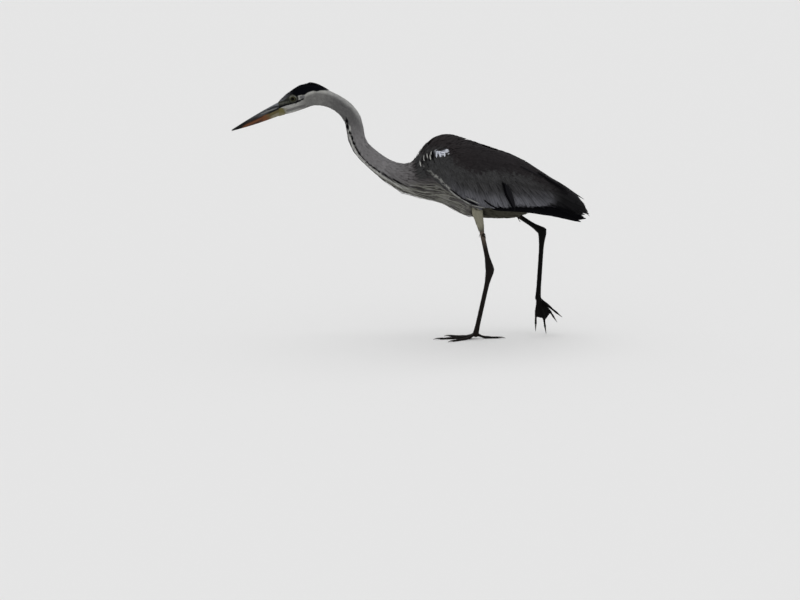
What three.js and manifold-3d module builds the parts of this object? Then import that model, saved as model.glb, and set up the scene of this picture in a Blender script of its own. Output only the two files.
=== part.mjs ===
// A grey heron at life size, wading slowly with its neck stretched forward in a low S.
// Millimetres, +Z up. The bill points along -Y, the bird's left side is +X, and the floor is z = 0.
// Head, neck and trunk are one smooth tube, parted by thin cuts. Wings, flight feathers, tail,
// crest and thighs are separate solids that lie on it.
import * as THREE from "three";
import { mergeVertices } from "three/addons/utils/BufferGeometryUtils.js";
import Module from "manifold-3d";

const wasm = await Module();
wasm.setup();

const gap = 0.3; // clearance between solids that touch
const rad = THREE.MathUtils.degToRad;
const mix = THREE.MathUtils.lerp;

// Driving dimensions.

// Sections of head, neck and trunk: centre (y, z), backward lean of the section in degrees,
// half depth and half width.
const bodySections = [
  { y: -304, z: 533, lean: 0, deep: 16.3, wide: 9.5 }, // root of the bill
  { y: -289, z: 541.8, lean: -7, deep: 21, wide: 13 }, // forehead and lores
  { y: -273, z: 549, lean: -9, deep: 24.4, wide: 17 }, // eyes
  { y: -247, z: 560.3, lean: -7, deep: 27.9, wide: 18.5 }, // crown
  { y: -222, z: 563.6, lean: 6, deep: 25, wide: 17.5 }, // back of the head
  { y: -197, z: 555.6, lean: 24, deep: 19.4, wide: 15.5 }, // nape
  { y: -170, z: 543.6, lean: 38, deep: 18.2, wide: 14.5 },
  { y: -144.4, z: 522.3, lean: 55, deep: 19.2, wide: 15 }, // top of the neck's bend
  { y: -129.8, z: 494.7, lean: 73, deep: 19.9, wide: 15.5 },
  { y: -126.9, z: 469.3, lean: 85, deep: 20, wide: 16 }, // steepest stretch of the neck
  { y: -118.4, z: 446.4, lean: 68, deep: 19.9, wide: 16.2 },
  { y: -101.7, z: 426, lean: 54, deep: 20.6, wide: 16.8 },
  { y: -79.4, z: 406.6, lean: 42, deep: 21.6, wide: 18 },
  { y: -56.3, z: 388.6, lean: 30, deep: 24.2, wide: 21 },
  { y: -31, z: 376.5, lean: 22, deep: 28, wide: 26 },
  { y: -6, z: 368.5, lean: 11, deep: 35, wide: 34 }, // root of the neck
  { y: 13, z: 371.2, lean: 4, deep: 45.6, wide: 44 },
  { y: 31, z: 379.8, lean: 0, deep: 60.6, wide: 52 }, // breast and mantle
  { y: 58, z: 387, lean: 0, deep: 74, wide: 60 },
  { y: 86, z: 382.9, lean: 0, deep: 82.9, wide: 64 }, // highest point of the back
  { y: 128, z: 365.7, lean: 0, deep: 87.8, wide: 65 },
  { y: 183, z: 350.5, lean: 0, deep: 79.5, wide: 59 },
  { y: 238, z: 339, lean: 0, deep: 68, wide: 48 }, // vent
  { y: 264, z: 331, lean: 0, deep: 53, wide: 40 },
  { y: 284, z: 325, lean: 0, deep: 39, wide: 32 },
  { y: 300, z: 319, lean: 0, deep: 27, wide: 27 }, // root of the tail
];
const headEndY = -205;
const neckCutsY = [-134, -68]; // upper, middle and lower neck
const trunkStartY = -6;

// Bill, in vertical sections from its root to its tip.
const bill = {
  rootY: -304, tipY: -410.5, tipZ: 488.4,
  culmenZ: 548.8, gonysZ: 517.2, mouthZ: 536.5, // heights at the root
  culmenBulge: 1.7, gonysBulge: 1.8, halfWidth: 9.3, tipHalfWidth: 1, tipDepth: 1.5,
};

const eye = { x: 9.9, y: -272.6, z: 557, radius: 8.6 };

// Short black plumes of the nape: centre line and half sizes.
const crestSections = [
  { y: -243, z: 588.2, deep: 1.8, wide: 6 },
  { y: -230, z: 589.8, deep: 3.6, wide: 8 },
  { y: -213, z: 584, deep: 4, wide: 8 },
  { y: -196, z: 575.4, deep: 3.4, wide: 5.5 },
  { y: -184, z: 569, deep: 2.2, wide: 3.4 },
  { y: -174, z: 563.6, deep: 1.0, wide: 1.4 },
];

// Folded wing, in vertical sections: top edge, lower edge and widest point of the outer surface.
const wingSections = [
  { y: 23, topX: 36, topZ: 416, lowX: 37, lowZ: 406, outX: 39.5 }, // wrist
  { y: 31, topX: 37.5, topZ: 427, lowX: 45, lowZ: 391, outX: 51 },
  { y: 49, topX: 37, topZ: 436, lowX: 51, lowZ: 369, outX: 61.5 },
  { y: 73, topX: 36, topZ: 443.5, lowX: 56, lowZ: 345, outX: 68.5 },
  { y: 100, topX: 27, topZ: 450.5, lowX: 57, lowZ: 322, outX: 72.5 },
  { y: 126, topX: 13, topZ: 452, lowX: 56, lowZ: 309, outX: 73.5 },
  { y: 155, topX: 2, topZ: 443.5, lowX: 54, lowZ: 302, outX: 71.5 },
  { y: 192, topX: 0.5, topZ: 430.5, lowX: 49, lowZ: 297, outX: 66.5 },
  { y: 240, topX: 0.5, topZ: 412, lowX: 43, lowZ: 296, outX: 57 },
  { y: 280, topX: 0.5, topZ: 388, lowX: 37, lowZ: 294, outX: 48.5 },
  { y: 320, topX: 0.5, topZ: 360, lowX: 31, lowZ: 290, outX: 39.5 },
  { y: 350, topX: 0.5, topZ: 342, lowX: 25, lowZ: 285, outX: 32.5 },
  { y: 378, topX: 0.5, topZ: 321.5, lowX: 19, lowZ: 273, outX: 25.5 },
  { y: 398, topX: 0.5, topZ: 300, lowX: 13, lowZ: 264, outX: 18 },
  { y: 409, topX: 0.5, topZ: 281, lowX: 8, lowZ: 269, outX: 10.5 }, // tip of the longest inner feathers
];
const wingThickness = { edge: 2.4, middle: 13, tip: 4 };

// Black flight feathers below the wing's edge: upper edge, lower edge and centre plane.
const flightSections = [
  { y: 170, topZ: 303, lowZ: 294, x: 47 },
  { y: 196, topZ: 304, lowZ: 287, x: 44.5 },
  { y: 230, topZ: 304, lowZ: 285.5, x: 39.5 },
  { y: 268, topZ: 303, lowZ: 282, x: 33.5 },
  { y: 320, topZ: 299, lowZ: 275.5, x: 25.5 },
  { y: 350, topZ: 291, lowZ: 268, x: 21 },
  { y: 376, topZ: 277, lowZ: 260, x: 16.5 },
  { y: 389, topZ: 264, lowZ: 256, x: 14 },
];
const flightThickness = 3.6;

const tailSections = [
  { y: 300 + gap, z: 317, wide: 25.5, deep: 20 },
  { y: 318, z: 309, wide: 26, deep: 13 },
  { y: 340, z: 300, wide: 27, deep: 8 },
  { y: 368, z: 290, wide: 29.5, deep: 4.6 },
  { y: 392, z: 281, wide: 31, deep: 3 },
  { y: 402, z: 277.5, wide: 27, deep: 2.2 },
  { y: 409, z: 275, wide: 17, deep: 1.4 },
];

// Legs. The left foot carries the bird. The right one is lifted, with only its middle toe on the floor.
const legs = {
  left: {
    knee: [45, 127, 369], hock: [24, 177, 156], ankle: [15, 146.2, 11], thighEnd: 0.57, side: 1,
    webs: [0.16, 0.3],
    // Toes on the floor, as a heading in degrees from straight ahead and a length.
    toes: {
      middle: { heading: 2, length: 82 },
      inner: { heading: 36, length: 63 },
      outer: { heading: -30, length: 69 },
      hind: { heading: 190, length: 52 },
    },
  },
  right: {
    knee: [-45, 127, 355], hock: [-26, 308.8, 233], ankle: [-17, 297, 84], thighEnd: 0.68, side: -1,
    webs: [0.72, 0.8],
    // Points that the hanging toes pass through, from the ankle.
    toes: {
      inner: [[5, -4, -22], [9, -7, -40], [12, -8, -60]],
      middle: [[1, 6, -22], [-1, 13, -45], [-2, 17, -69]],
      outer: [[-6, 15, -17], [-11, 29, -33], [-13, 39, -48]],
      hind: [[0, 17, -14], [0, 33, -28], [-1, 45, -38]],
    },
  },
};
// Half widths across and from front to back, with what the joints add to them.
const thighRadius = { top: 27, end: 6.6, across: 0.82 };
const shankHalf = { across: 4.5, fore: 5.3, hockAcross: 3.1, hockFore: 5 };
const tarsusHalf = {
  across: 4.1, fore: 5.5,
  hockAcross: 3.3, hockFore: 4.4,
  ankleAcross: 2.6, ankleFore: 1.4,
};
const hockOverlap = 8; // shank and tarsus run on this far past the hock before they are parted
const knuckle = { radius: 6.6, below: 1.5 };
const toeRadius = { root: 4.1, tip: 2.7 };
const webThickness = 1.2;
const clawLength = 15;
const clawRadius = { root: 2.1, tip: 0.5 };

// Steps along and sides round of the pieces that are drawn more than once.
const facets = { wing: [14, 9], flight: [9, 8], tail: [8, 14], knuckle: [10, 7] };

// Helpers.

// Smooth values between hand-placed sections. Returns a function of one named coordinate.
function between(sections, along) {
  const keys = Object.keys(sections[0]);
  const places = sections.map((s) => s[along]);
  const values = sections.flatMap((s) => keys.map((k) => s[k]));
  const curve = new THREE.CubicInterpolant(places, values, keys.length);
  return (place) => {
    const found = curve.evaluate(place);
    return Object.fromEntries(keys.map((k, i) => [k, found[i]]));
  };
}

// A closed solid through rings of equal length, with flat ends.
function loft(rings) {
  const count = rings[0].length;
  const points = rings.flat();
  const index = [];
  for (let r = 0; r + 1 < rings.length; r++)
    for (let i = 0; i < count; i++) {
      const a = r * count + i;
      const b = r * count + ((i + 1) % count);
      index.push(a, b, a + count, b, b + count, a + count);
    }
  for (const [ring, first] of [[rings[0], true], [rings.at(-1), false]]) {
    const centre = ring.reduce((sum, p) => sum.add(p), new THREE.Vector3());
    const start = first ? 0 : (rings.length - 1) * count;
    points.push(centre.divideScalar(count));
    for (let i = 0; i < count; i++) {
      const a = start + i;
      const b = start + ((i + 1) % count);
      index.push(points.length - 1, first ? b : a, first ? a : b);
    }
  }
  const shape = new THREE.BufferGeometry().setFromPoints(points).setIndex(index);
  return solidOf(shape);
}

function solidOf(shape) {
  shape.deleteAttribute("normal");
  shape.deleteAttribute("uv");
  const merged = mergeVertices(shape, 1e-4);
  return new wasm.Manifold(new wasm.Mesh({
    numProp: 3,
    vertProperties: merged.attributes.position.array,
    triVerts: new Uint32Array(merged.index.array),
  }));
}

function shapeOf(solid) {
  const mesh = solid.getMesh();
  const shape = new THREE.BufferGeometry();
  shape.setAttribute("position", new THREE.BufferAttribute(mesh.vertProperties, 3));
  shape.setIndex(new THREE.BufferAttribute(mesh.triVerts, 1));
  return shape;
}

// Points round a full turn, or part of one, from start to end in radians.
function arc(count, place, start = 0, end = 2 * Math.PI, closed = true) {
  const steps = closed ? count : count - 1;
  return Array.from({ length: count }, (_, i) => place(start + ((end - start) * i) / steps));
}

// The largest body of a cut solid. Thin slivers that a cut leaves are dropped.
function largest(solid) {
  return solid.decompose().sort((a, b) => b.volume() - a.volume())[0];
}

// The same solid on the bird's other side.
function mirrored(solid) {
  const shape = shapeOf(solid).scale(-1, 1, 1);
  shape.index.array.reverse();
  return solidOf(shape);
}

// A large block on the side of a plane that its normal points to.
function blockBeyond(point, normal, size = 1500) {
  const turn = new THREE.Quaternion().setFromUnitVectors(new THREE.Vector3(0, 0, 1), normal);
  return solidOf(new THREE.BoxGeometry(size, size, size).translate(0, 0, size / 2)
    .applyQuaternion(turn).translate(...point));
}

// Head, neck and trunk.

// How far along the centre line each section lies, so that the sections blend evenly.
let along = 0;
bodySections.forEach((s, i) => {
  const before = bodySections[i - 1] ?? s;
  along += Math.hypot(s.y - before.y, s.z - before.z);
  s.along = along;
});
const bodyAt = between(bodySections, "along");

// The distance along the centre line at which the tube reaches a given y.
function alongAt(y) {
  const next = bodySections.findIndex((s) => s.y >= y);
  const [a, b] = [bodySections[Math.max(next - 1, 0)], bodySections[Math.max(next, 1)]];
  return mix(a.along, b.along, (y - a.y) / (b.y - a.y));
}

function bodyRing(distance, grow, sides) {
  const s = bodyAt(distance);
  const lean = rad(s.lean);
  return arc(sides, (a) => {
    const up = (s.deep + grow) * Math.cos(a);
    const keel = 1 - 0.06 * (1 - Math.cos(a)); // a little narrower below
    return new THREE.Vector3(
      (s.wide + grow) * Math.sin(a) * keel,
      s.y + up * Math.sin(lean),
      s.z + up * Math.cos(lean),
    );
  });
}

// A length of the tube, or with grow the room that it takes up.
function bodyLength({ fromY, toY, steps, sides }, grow = 0) {
  const from = alongAt(fromY) + gap / 2;
  const to = alongAt(toY) - gap / 2;
  const places = Array.from({ length: steps + 1 }, (_, i) => mix(from, to, i / steps));
  if (grow) {
    places.unshift(from - grow);
    places.push(to + grow);
  }
  return loft(places.map((place) => bodyRing(place, grow, sides)));
}

// Bill, eyes and crest.

// One half of the bill. side is 1 for the upper half and -1 for the lower.
function billHalf(side, steps = 9, sides = 9) {
  const rings = Array.from({ length: steps + 1 }, (_, i) => {
    const t = i / steps; // root to tip
    const y = mix(bill.rootY - gap, bill.tipY, t);
    const mouth = mix(bill.mouthZ, bill.tipZ, t) + (side * gap) / 2;
    const ridge = side > 0
      ? mix(bill.culmenZ, bill.tipZ + bill.tipDepth, t) + bill.culmenBulge * Math.sin(Math.PI * t)
      : mix(bill.gonysZ, bill.tipZ - bill.tipDepth, t) - bill.gonysBulge * Math.sin(Math.PI * t);
    const half = mix(bill.halfWidth, bill.tipHalfWidth, Math.pow(t, 0.85));
    return arc(sides, (a) => new THREE.Vector3(
      half * Math.cos(a), y, mix(mouth, ridge, Math.pow(Math.sin(a), 0.85))), 0, Math.PI, false);
  });
  if (side < 0) rings.reverse();
  return loft(rings);
}

const eyeBall = (sign, grow = 0) => solidOf(
  new THREE.SphereGeometry(eye.radius + grow, 12, 8).translate(sign * eye.x, eye.y, eye.z));

// Oval tubes whose sections stand upright, such as the crest and the tail.
function ovalTube(sections, steps, sides, grow = 0) {
  const at = between(sections, "y");
  const [first, last] = [sections[0].y, sections.at(-1).y];
  return loft(Array.from({ length: steps + 1 }, (_, i) => {
    const s = at(mix(first, last, i / steps));
    return arc(sides, (a) => new THREE.Vector3(
      (s.wide + grow) * Math.sin(a), s.y, s.z + (s.deep + grow) * Math.cos(a)));
  }));
}

// Wings.

// The left wing: an outer curve from its top edge to its lower edge, and the same curve moved in.
function wing(steps, sides, grow = 0) {
  const at = between(wingSections, "y");
  const [first, last] = [wingSections[0].y, wingSections.at(-1).y];
  return loft(Array.from({ length: steps + 1 }, (_, i) => {
    const t = i / steps;
    const s = at(mix(first, last, Math.pow(t, 1.15)));
    const outer = (a) => {
      const down = (1 - Math.cos(a)) / 2;
      const edge = mix(s.topX, s.lowX, down);
      return new THREE.Vector2(
        edge + (s.outX - edge) * Math.pow(Math.sin(a), 0.8), mix(s.topZ, s.lowZ, down));
    };
    const middle = mix(wingThickness.middle, wingThickness.tip, THREE.MathUtils.smoothstep(t, 0.6, 1));
    const offset = (a, depth) => {
      const small = 0.02;
      const across = outer(Math.min(a + small, Math.PI)).sub(outer(Math.max(a - small, 0)));
      const inward = new THREE.Vector2(across.y, -across.x).normalize();
      return outer(a).addScaledVector(inward, depth).add(new THREE.Vector2(0, grow * Math.cos(a)));
    };
    const thick = (a) => mix(wingThickness.edge, middle, Math.pow(Math.sin(a), 0.7));
    const to3 = (p) => new THREE.Vector3(Math.max(p.x, gap / 2), s.y, p.y);
    const outside = arc(sides, (a) => to3(offset(a, -grow)), 0, Math.PI, false);
    const inside = arc(sides, (a) => to3(offset(a, thick(a) + grow)), Math.PI, 0, false);
    return [...outside, ...inside];
  }));
}

// The left wing's black flight feathers: a thin plate that leans in towards the tail.
function flightFeathers(steps, sides, grow = 0) {
  const at = between(flightSections, "y");
  const [first, last] = [flightSections[0].y, flightSections.at(-1).y];
  return loft(Array.from({ length: steps + 1 }, (_, i) => {
    const t = i / steps;
    const s = at(mix(first, last, t));
    const half = (flightThickness / 2) * mix(1, 0.6, t) + grow;
    return arc(sides, (a) => new THREE.Vector3(
      s.x + half * Math.sin(a) + 3 * Math.cos(a), s.y,
      mix(s.lowZ - grow, s.topZ + grow, (1 + Math.cos(a)) / 2)));
  }));
}

// Legs.

// A limb along points, oval in section. Radii are given from its start to its end.
function limb(points, across, fore, steps, sides, bend = "centripetal") {
  const route = points.length > 2
    ? new THREE.CatmullRomCurve3(points, false, bend)
    : new THREE.LineCurve3(...points);
  const side = new THREE.Vector3(1, 0, 0);
  return loft(Array.from({ length: steps + 1 }, (_, i) => {
    const t = i / steps;
    const centre = route.getPointAt(t);
    const forward = route.getTangentAt(t);
    const front = new THREE.Vector3().crossVectors(side, forward).normalize();
    const sideways = new THREE.Vector3().crossVectors(forward, front);
    return arc(sides, (a) => centre.clone()
      .addScaledVector(sideways, across(t) * Math.sin(a))
      .addScaledVector(front, fore(t) * Math.cos(a)));
  }));
}

const swell = (t, at, width) => Math.exp(-(((t - at) / width) ** 2));

function thigh(leg, grow = 0) {
  const [knee, hock] = [leg.knee, leg.hock].map((p) => new THREE.Vector3(...p));
  const start = knee.clone().lerp(hock, 0.02);
  const end = knee.clone().lerp(hock, leg.thighEnd);
  const radius = (t) => mix(thighRadius.top, thighRadius.end, Math.pow(t, 0.72)) + grow;
  return limb([start, end], (t) => radius(t) * thighRadius.across, radius, 7, 12);
}

// The plane through the hock that parts shank and tarsus, halving the angle between them.
function hockPlane(leg, shift) {
  const [knee, hock, ankle] = [leg.knee, leg.hock, leg.ankle].map((p) => new THREE.Vector3(...p));
  const above = hock.clone().sub(knee).normalize();
  const normal = ankle.sub(hock).normalize().add(above).normalize();
  return blockBeyond(hock.addScaledVector(normal, shift), normal);
}

function shank(leg) {
  const [knee, hock] = [leg.knee, leg.hock].map((p) => new THREE.Vector3(...p));
  const down = hock.clone().sub(knee).normalize();
  const start = knee.clone().lerp(hock, leg.thighEnd).addScaledVector(down, gap);
  const end = hock.clone().addScaledVector(down, hockOverlap);
  const half = shankHalf;
  return limb([start, end],
    (t) => half.across + half.hockAcross * swell(t, 0.92, 0.22),
    (t) => half.fore + half.hockFore * swell(t, 0.92, 0.22), 8, 8)
    .subtract(hockPlane(leg, -gap / 2));
}

function tarsus(leg) {
  const [hock, ankle] = [leg.hock, leg.ankle].map((p) => new THREE.Vector3(...p));
  const up = hock.clone().sub(ankle).normalize();
  const half = tarsusHalf;
  return limb([hock.clone().addScaledVector(up, hockOverlap), ankle],
    (t) => half.across + half.hockAcross * swell(t, 0.05, 0.12) + half.ankleAcross * swell(t, 1, 0.06),
    (t) => half.fore + half.hockFore * swell(t, 0.05, 0.13) + half.ankleFore * swell(t, 1, 0.08), 12, 8)
    .intersect(hockPlane(leg, gap / 2));
}

// The centre line of each toe, from the ankle joint to the root of its claw.
function toeRoute(leg, name) {
  const ankle = new THREE.Vector3(...leg.ankle);
  const toe = leg.toes[name];
  if (Array.isArray(toe)) return [ankle, ...toe.map((p) => new THREE.Vector3(...p).add(ankle))];
  const heading = rad(toe.heading);
  const out = new THREE.Vector3(-leg.side * Math.sin(heading), -Math.cos(heading), 0);
  const at = (share, height) => ankle.clone().setZ(height).addScaledVector(out, toe.length * share);
  return [ankle, at(0.16, 7.2), at(0.36, 3.4), at(0.7, 2.4), at(1, toeRadius.tip - 0.7)];
}

// The thin skin between two neighbouring toes, from the ankle out to a share of their length.
function web(leg, names, share) {
  const routes = names.map((name) => new THREE.CatmullRomCurve3(toeRoute(leg, name), false, "centripetal"));
  return loft(Array.from({ length: 6 }, (_, i) => {
    const [a, b] = routes.map((route) => route.getPointAt(mix(0.08, share, i / 5)));
    const across = b.clone().sub(a);
    const down = routes[0].getTangentAt(mix(0.08, share, i / 5));
    const face = across.clone().cross(down).normalize().multiplyScalar(webThickness / 2);
    return [a.clone().add(face), b.clone().add(face), b.clone().sub(face), a.clone().sub(face)];
  }));
}

// Toes swell a little at each joint.
const toeThick = (joints) => (t) =>
  mix(toeRadius.root, toeRadius.tip, t) * (0.9 + 0.14 * Math.cos(2 * Math.PI * joints * t));

const jointsOf = { middle: 3, inner: 2, outer: 4, hind: 2 };
const aboveFloor = blockBeyond(new THREE.Vector3(), new THREE.Vector3(0, 0, 1));

// The ball of the foot, under the tarsus.
function knuckleBall(leg, grow = 0) {
  const [x, y, z] = leg.ankle;
  return solidOf(new THREE.SphereGeometry(knuckle.radius + grow, ...facets.knuckle)
    .translate(x, y, z - knuckle.below));
}

function foot(leg, shin) {
  const toes = Object.keys(leg.toes).map((name) => {
    const thick = toeThick(jointsOf[name]);
    return limb(toeRoute(leg, name), thick, thick, 8, 6);
  });
  const webs = [["inner", "middle"], ["middle", "outer"]].map((pair, i) => web(leg, pair, leg.webs[i]));
  return wasm.Manifold.union([knuckleBall(leg), ...toes, ...webs]).intersect(aboveFloor).subtract(shin);
}

// A claw goes on from its toe. On the floor it curves down to it, and a free one curls a little.
function claw(leg, name) {
  const route = toeRoute(leg, name);
  const level = leg === legs.left;
  const ahead = route.at(-1).clone().sub(route.at(-2)).normalize();
  if (level) ahead.setZ(0).normalize();
  const at = (share, rise) => {
    const point = route.at(-1).clone().addScaledVector(ahead, gap + clawLength * share);
    return level ? point.setZ(rise) : point;
  };
  const radius = (t) => mix(clawRadius.root, clawRadius.tip, Math.pow(t, 0.9));
  return limb([at(0, 2.5), at(0.55, 2.6), at(1, 0.6)], radius, radius, 4, 6).intersect(aboveFloor);
}

// Assembly.

const finish = {
  slate: { color: 0x55575a, roughness: 0.85, metalness: 0 },
  grey: { color: 0x77777a, roughness: 0.85, metalness: 0 },
  pale: { color: 0xb9b5a4, roughness: 0.9, metalness: 0 },
  black: { color: 0x17171a, roughness: 0.7, metalness: 0 },
  billDark: { color: 0x34363a, roughness: 0.45, metalness: 0 },
  billOrange: { color: 0xb5672e, roughness: 0.45, metalness: 0 },
  leg: { color: 0x2b2622, roughness: 0.6, metalness: 0 },
  eye: { color: 0xd8c65a, roughness: 0.1, metalness: 0 },
  horn: { color: 0x1b1918, roughness: 0.45, metalness: 0 },
};

const heron = new THREE.Group();

function add(name, solid, look) {
  const mesh = new THREE.Mesh(shapeOf(largest(solid)), new THREE.MeshStandardMaterial(finish[look]));
  mesh.name = name;
  heron.add(mesh);
  return mesh;
}

const bodyLengths = [
  { name: "head", fromY: bodySections[0].y, toY: headEndY, steps: 9, sides: 18, look: "grey" },
  { name: "neck_upper", fromY: headEndY, toY: neckCutsY[0], steps: 6, sides: 14, look: "grey" },
  { name: "neck_middle", fromY: neckCutsY[0], toY: neckCutsY[1], steps: 6, sides: 14, look: "grey" },
  { name: "neck_lower", fromY: neckCutsY[1], toY: trunkStartY, steps: 5, sides: 16, look: "grey" },
  { name: "trunk", fromY: trunkStartY, toY: bodySections.at(-1).y, steps: 15, sides: 24, look: "pale" },
];
const bodyRoom = wasm.Manifold.union(bodyLengths.map((part) => bodyLength(part, gap)));

for (const part of bodyLengths) {
  const solid = bodyLength(part);
  const eyeRoom = wasm.Manifold.union([eyeBall(1, gap), eyeBall(-1, gap)]);
  add(part.name, part.name === "head" ? solid.subtract(eyeRoom) : solid, part.look);
}
add("bill_upper", billHalf(1), "billDark");
add("bill_lower", billHalf(-1), "billOrange");
add("eye_left", eyeBall(1), "eye");
add("eye_right", eyeBall(-1), "eye");
add("crest", ovalTube(crestSections, 6, 8).subtract(bodyRoom), "black");

const tailRoom = ovalTube(tailSections, ...facets.tail, gap);
add("tail", ovalTube(tailSections, ...facets.tail), "slate");

// Solids drawn for the left side, mirrored when they are wanted on the right.
const onSide = (side, solid) => (side === "left" ? solid : mirrored(solid));

for (const [side, leg] of Object.entries(legs)) {
  const wingRoom = onSide(side, wing(...facets.wing, gap));
  const flight = onSide(side, flightFeathers(...facets.flight));
  const flightRoom = onSide(side, flightFeathers(...facets.flight, gap));
  add(`wing_${side}`, onSide(side, wing(...facets.wing)).subtract(bodyRoom).subtract(tailRoom), "slate");
  add(`flight_feathers_${side}`, flight.subtract(bodyRoom).subtract(tailRoom).subtract(wingRoom), "black");
  add(`thigh_${side}`, thigh(leg).subtract(bodyRoom).subtract(wingRoom).subtract(flightRoom), "pale");
  add(`shank_${side}`, shank(leg).subtract(bodyRoom), "leg");
  const shin = largest(tarsus(leg).subtract(knuckleBall(leg, gap)));
  add(`tarsus_${side}`, shin, "leg");
  add(`foot_${side}`, foot(leg, shin), "leg");
  for (const name of Object.keys(leg.toes)) add(`claw_${side}_${name}`, claw(leg, name), "horn");
}

export default heron;
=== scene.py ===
import math

import bpy
import numpy as np
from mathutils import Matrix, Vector
from mathutils.bvhtree import BVHTree
from mathutils.kdtree import KDTree


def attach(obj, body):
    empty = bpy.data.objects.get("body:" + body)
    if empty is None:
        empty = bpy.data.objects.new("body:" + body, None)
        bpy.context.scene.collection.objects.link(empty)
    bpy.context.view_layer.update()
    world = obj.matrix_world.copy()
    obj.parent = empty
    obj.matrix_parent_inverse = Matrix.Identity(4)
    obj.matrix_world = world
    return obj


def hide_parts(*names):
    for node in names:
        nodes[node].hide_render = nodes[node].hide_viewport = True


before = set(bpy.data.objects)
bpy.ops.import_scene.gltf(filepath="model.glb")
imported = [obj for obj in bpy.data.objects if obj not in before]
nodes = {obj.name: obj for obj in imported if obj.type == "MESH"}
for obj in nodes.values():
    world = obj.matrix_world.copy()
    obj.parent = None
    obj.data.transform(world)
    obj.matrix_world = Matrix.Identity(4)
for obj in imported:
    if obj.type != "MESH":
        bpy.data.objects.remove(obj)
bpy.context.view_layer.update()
mm = 0.001
sides = {"left": 1, "right": -1}


# Small tools.

def activate(obj):
    for other in bpy.context.selected_objects:
        other.select_set(False)
    obj.select_set(True)
    bpy.context.view_layer.objects.active = obj


def applyModifier(obj, kind, **settings):
    activate(obj)
    modifier = obj.modifiers.new(kind.lower(), kind)
    for key, value in settings.items():
        setattr(modifier, key, value)
    bpy.ops.object.modifier_apply(modifier=modifier.name)


# A copy of a solid of the frame, with its loose triangles merged, and swollen by some millimetres.
def copyOf(nodeName, swell=0.0):
    obj = bpy.data.objects.new("work_" + nodeName, nodes[nodeName].data.copy())
    bpy.context.scene.collection.objects.link(obj)
    obj.data.materials.clear()
    activate(obj)
    bpy.ops.object.mode_set(mode="EDIT")
    bpy.ops.mesh.select_all(action="SELECT")
    bpy.ops.mesh.remove_doubles(threshold=1e-5)
    bpy.ops.object.mode_set(mode="OBJECT")
    if swell:
        applyModifier(obj, "DISPLACE", strength=swell * mm, mid_level=0.0)
    return obj


def joined(name, parts):
    activate(parts[0])
    for part in parts:
        part.select_set(True)
    if len(parts) > 1:
        bpy.ops.object.join()
    parts[0].name = name
    parts[0].data.name = name
    return parts[0]


def pointsOf(obj):
    found = np.empty(len(obj.data.vertices) * 3)
    obj.data.vertices.foreach_get("co", found)
    return found.reshape(-1, 3)


def normalsOf(obj):
    found = np.empty(len(obj.data.vertices) * 3)
    obj.data.vertex_normals.foreach_get("vector", found)
    return found.reshape(-1, 3)


def movePoints(obj, points):
    obj.data.vertices.foreach_set("co", points.ravel())
    obj.data.update()


def unit(vectors):
    return vectors / np.maximum(np.linalg.norm(vectors, axis=-1, keepdims=True), 1e-12)


# Smooth step from 0 at low to 1 at high; the other way round when low is above high.
def ease(value, low, high):
    t = np.clip((value - low) / (high - low), 0, 1)
    return t * t * (3 - 2 * t)


# Values on a mesh's vertices, evened out along its edges.
def evened(obj, values, rounds):
    edges = np.empty(len(obj.data.edges) * 2, int)
    obj.data.edges.foreach_get("vertices", edges)
    a, b = edges.reshape(-1, 2).T
    count = np.bincount(a, minlength=len(values)) + np.bincount(b, minlength=len(values))
    for _ in range(rounds):
        total = np.bincount(a, values[b], len(values)) + np.bincount(b, values[a], len(values))
        values = (values + total / np.maximum(count, 1)) / 2
    return values


# A mesh's surface, for finding the nearest point on it and the smooth normal there.
class Surface:
    def __init__(self, obj):
        self.tree = BVHTree.FromObject(obj, bpy.context.evaluated_depsgraph_get())
        mesh = obj.data
        corners = np.empty(len(mesh.loops), int)
        mesh.loops.foreach_get("vertex_index", corners)
        starts = np.empty(len(mesh.polygons), int)
        mesh.polygons.foreach_get("loop_start", starts)
        self.corners = corners
        self.starts = starts
        self.normals = unit(self.perFace(normalsOf(obj)))

    def perFace(self, values):
        return np.add.reduceat(values[self.corners], self.starts, axis=0)

    def nearest(self, points):
        found = [self.tree.find_nearest(Vector(p)) for p in points]
        places = np.array([f[0] for f in found])
        faces = np.array([f[2] for f in found])
        return places, self.normals[faces], np.array([f[3] for f in found]), faces


# The body's centre line, in mm, from the root of the bill to the tip of the tail.

spineLine = np.array([
    (-304, 533), (-273, 549.8), (-247, 560.5), (-222, 563.6), (-197, 556), (-170, 543.3),
    (-144.8, 522), (-128.8, 495), (-125, 469.5), (-117, 447), (-101, 426.5), (-79, 407), (-56, 389),
    (-31, 377), (-6, 369), (31, 374), (86, 375), (183, 350.5), (264, 331), (300, 319), (409, 285)])
spineSteps = np.diff(spineLine, axis=0)
spineLengths = np.linalg.norm(spineSteps, axis=1)
spineAlong = np.concatenate([[0], np.cumsum(spineLengths)])


# Distance along the centre line in mm, and the share of a half turn from the back (0) to the belly (1).
def onSpine(points):
    flat = points[:, 1:] / mm
    best = np.full(len(flat), np.inf)
    along, up = np.zeros(len(flat)), np.zeros(len(flat))
    for start, step, length, before in zip(spineLine, spineSteps, spineLengths, spineAlong):
        forward = step / length
        t = np.clip((flat - start) @ forward, 0, length)
        offset = flat - start - t[:, None] * forward
        distance = np.linalg.norm(offset, axis=1)
        height = offset @ np.array([-forward[1], forward[0]])
        closer = distance < best
        best = np.where(closer, distance, best)
        along = np.where(closer, before + t, along)
        up = np.where(closer, height, up)
    around = np.arctan2(np.abs(points[:, 0] / mm), up) / math.pi
    return along, around


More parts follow.
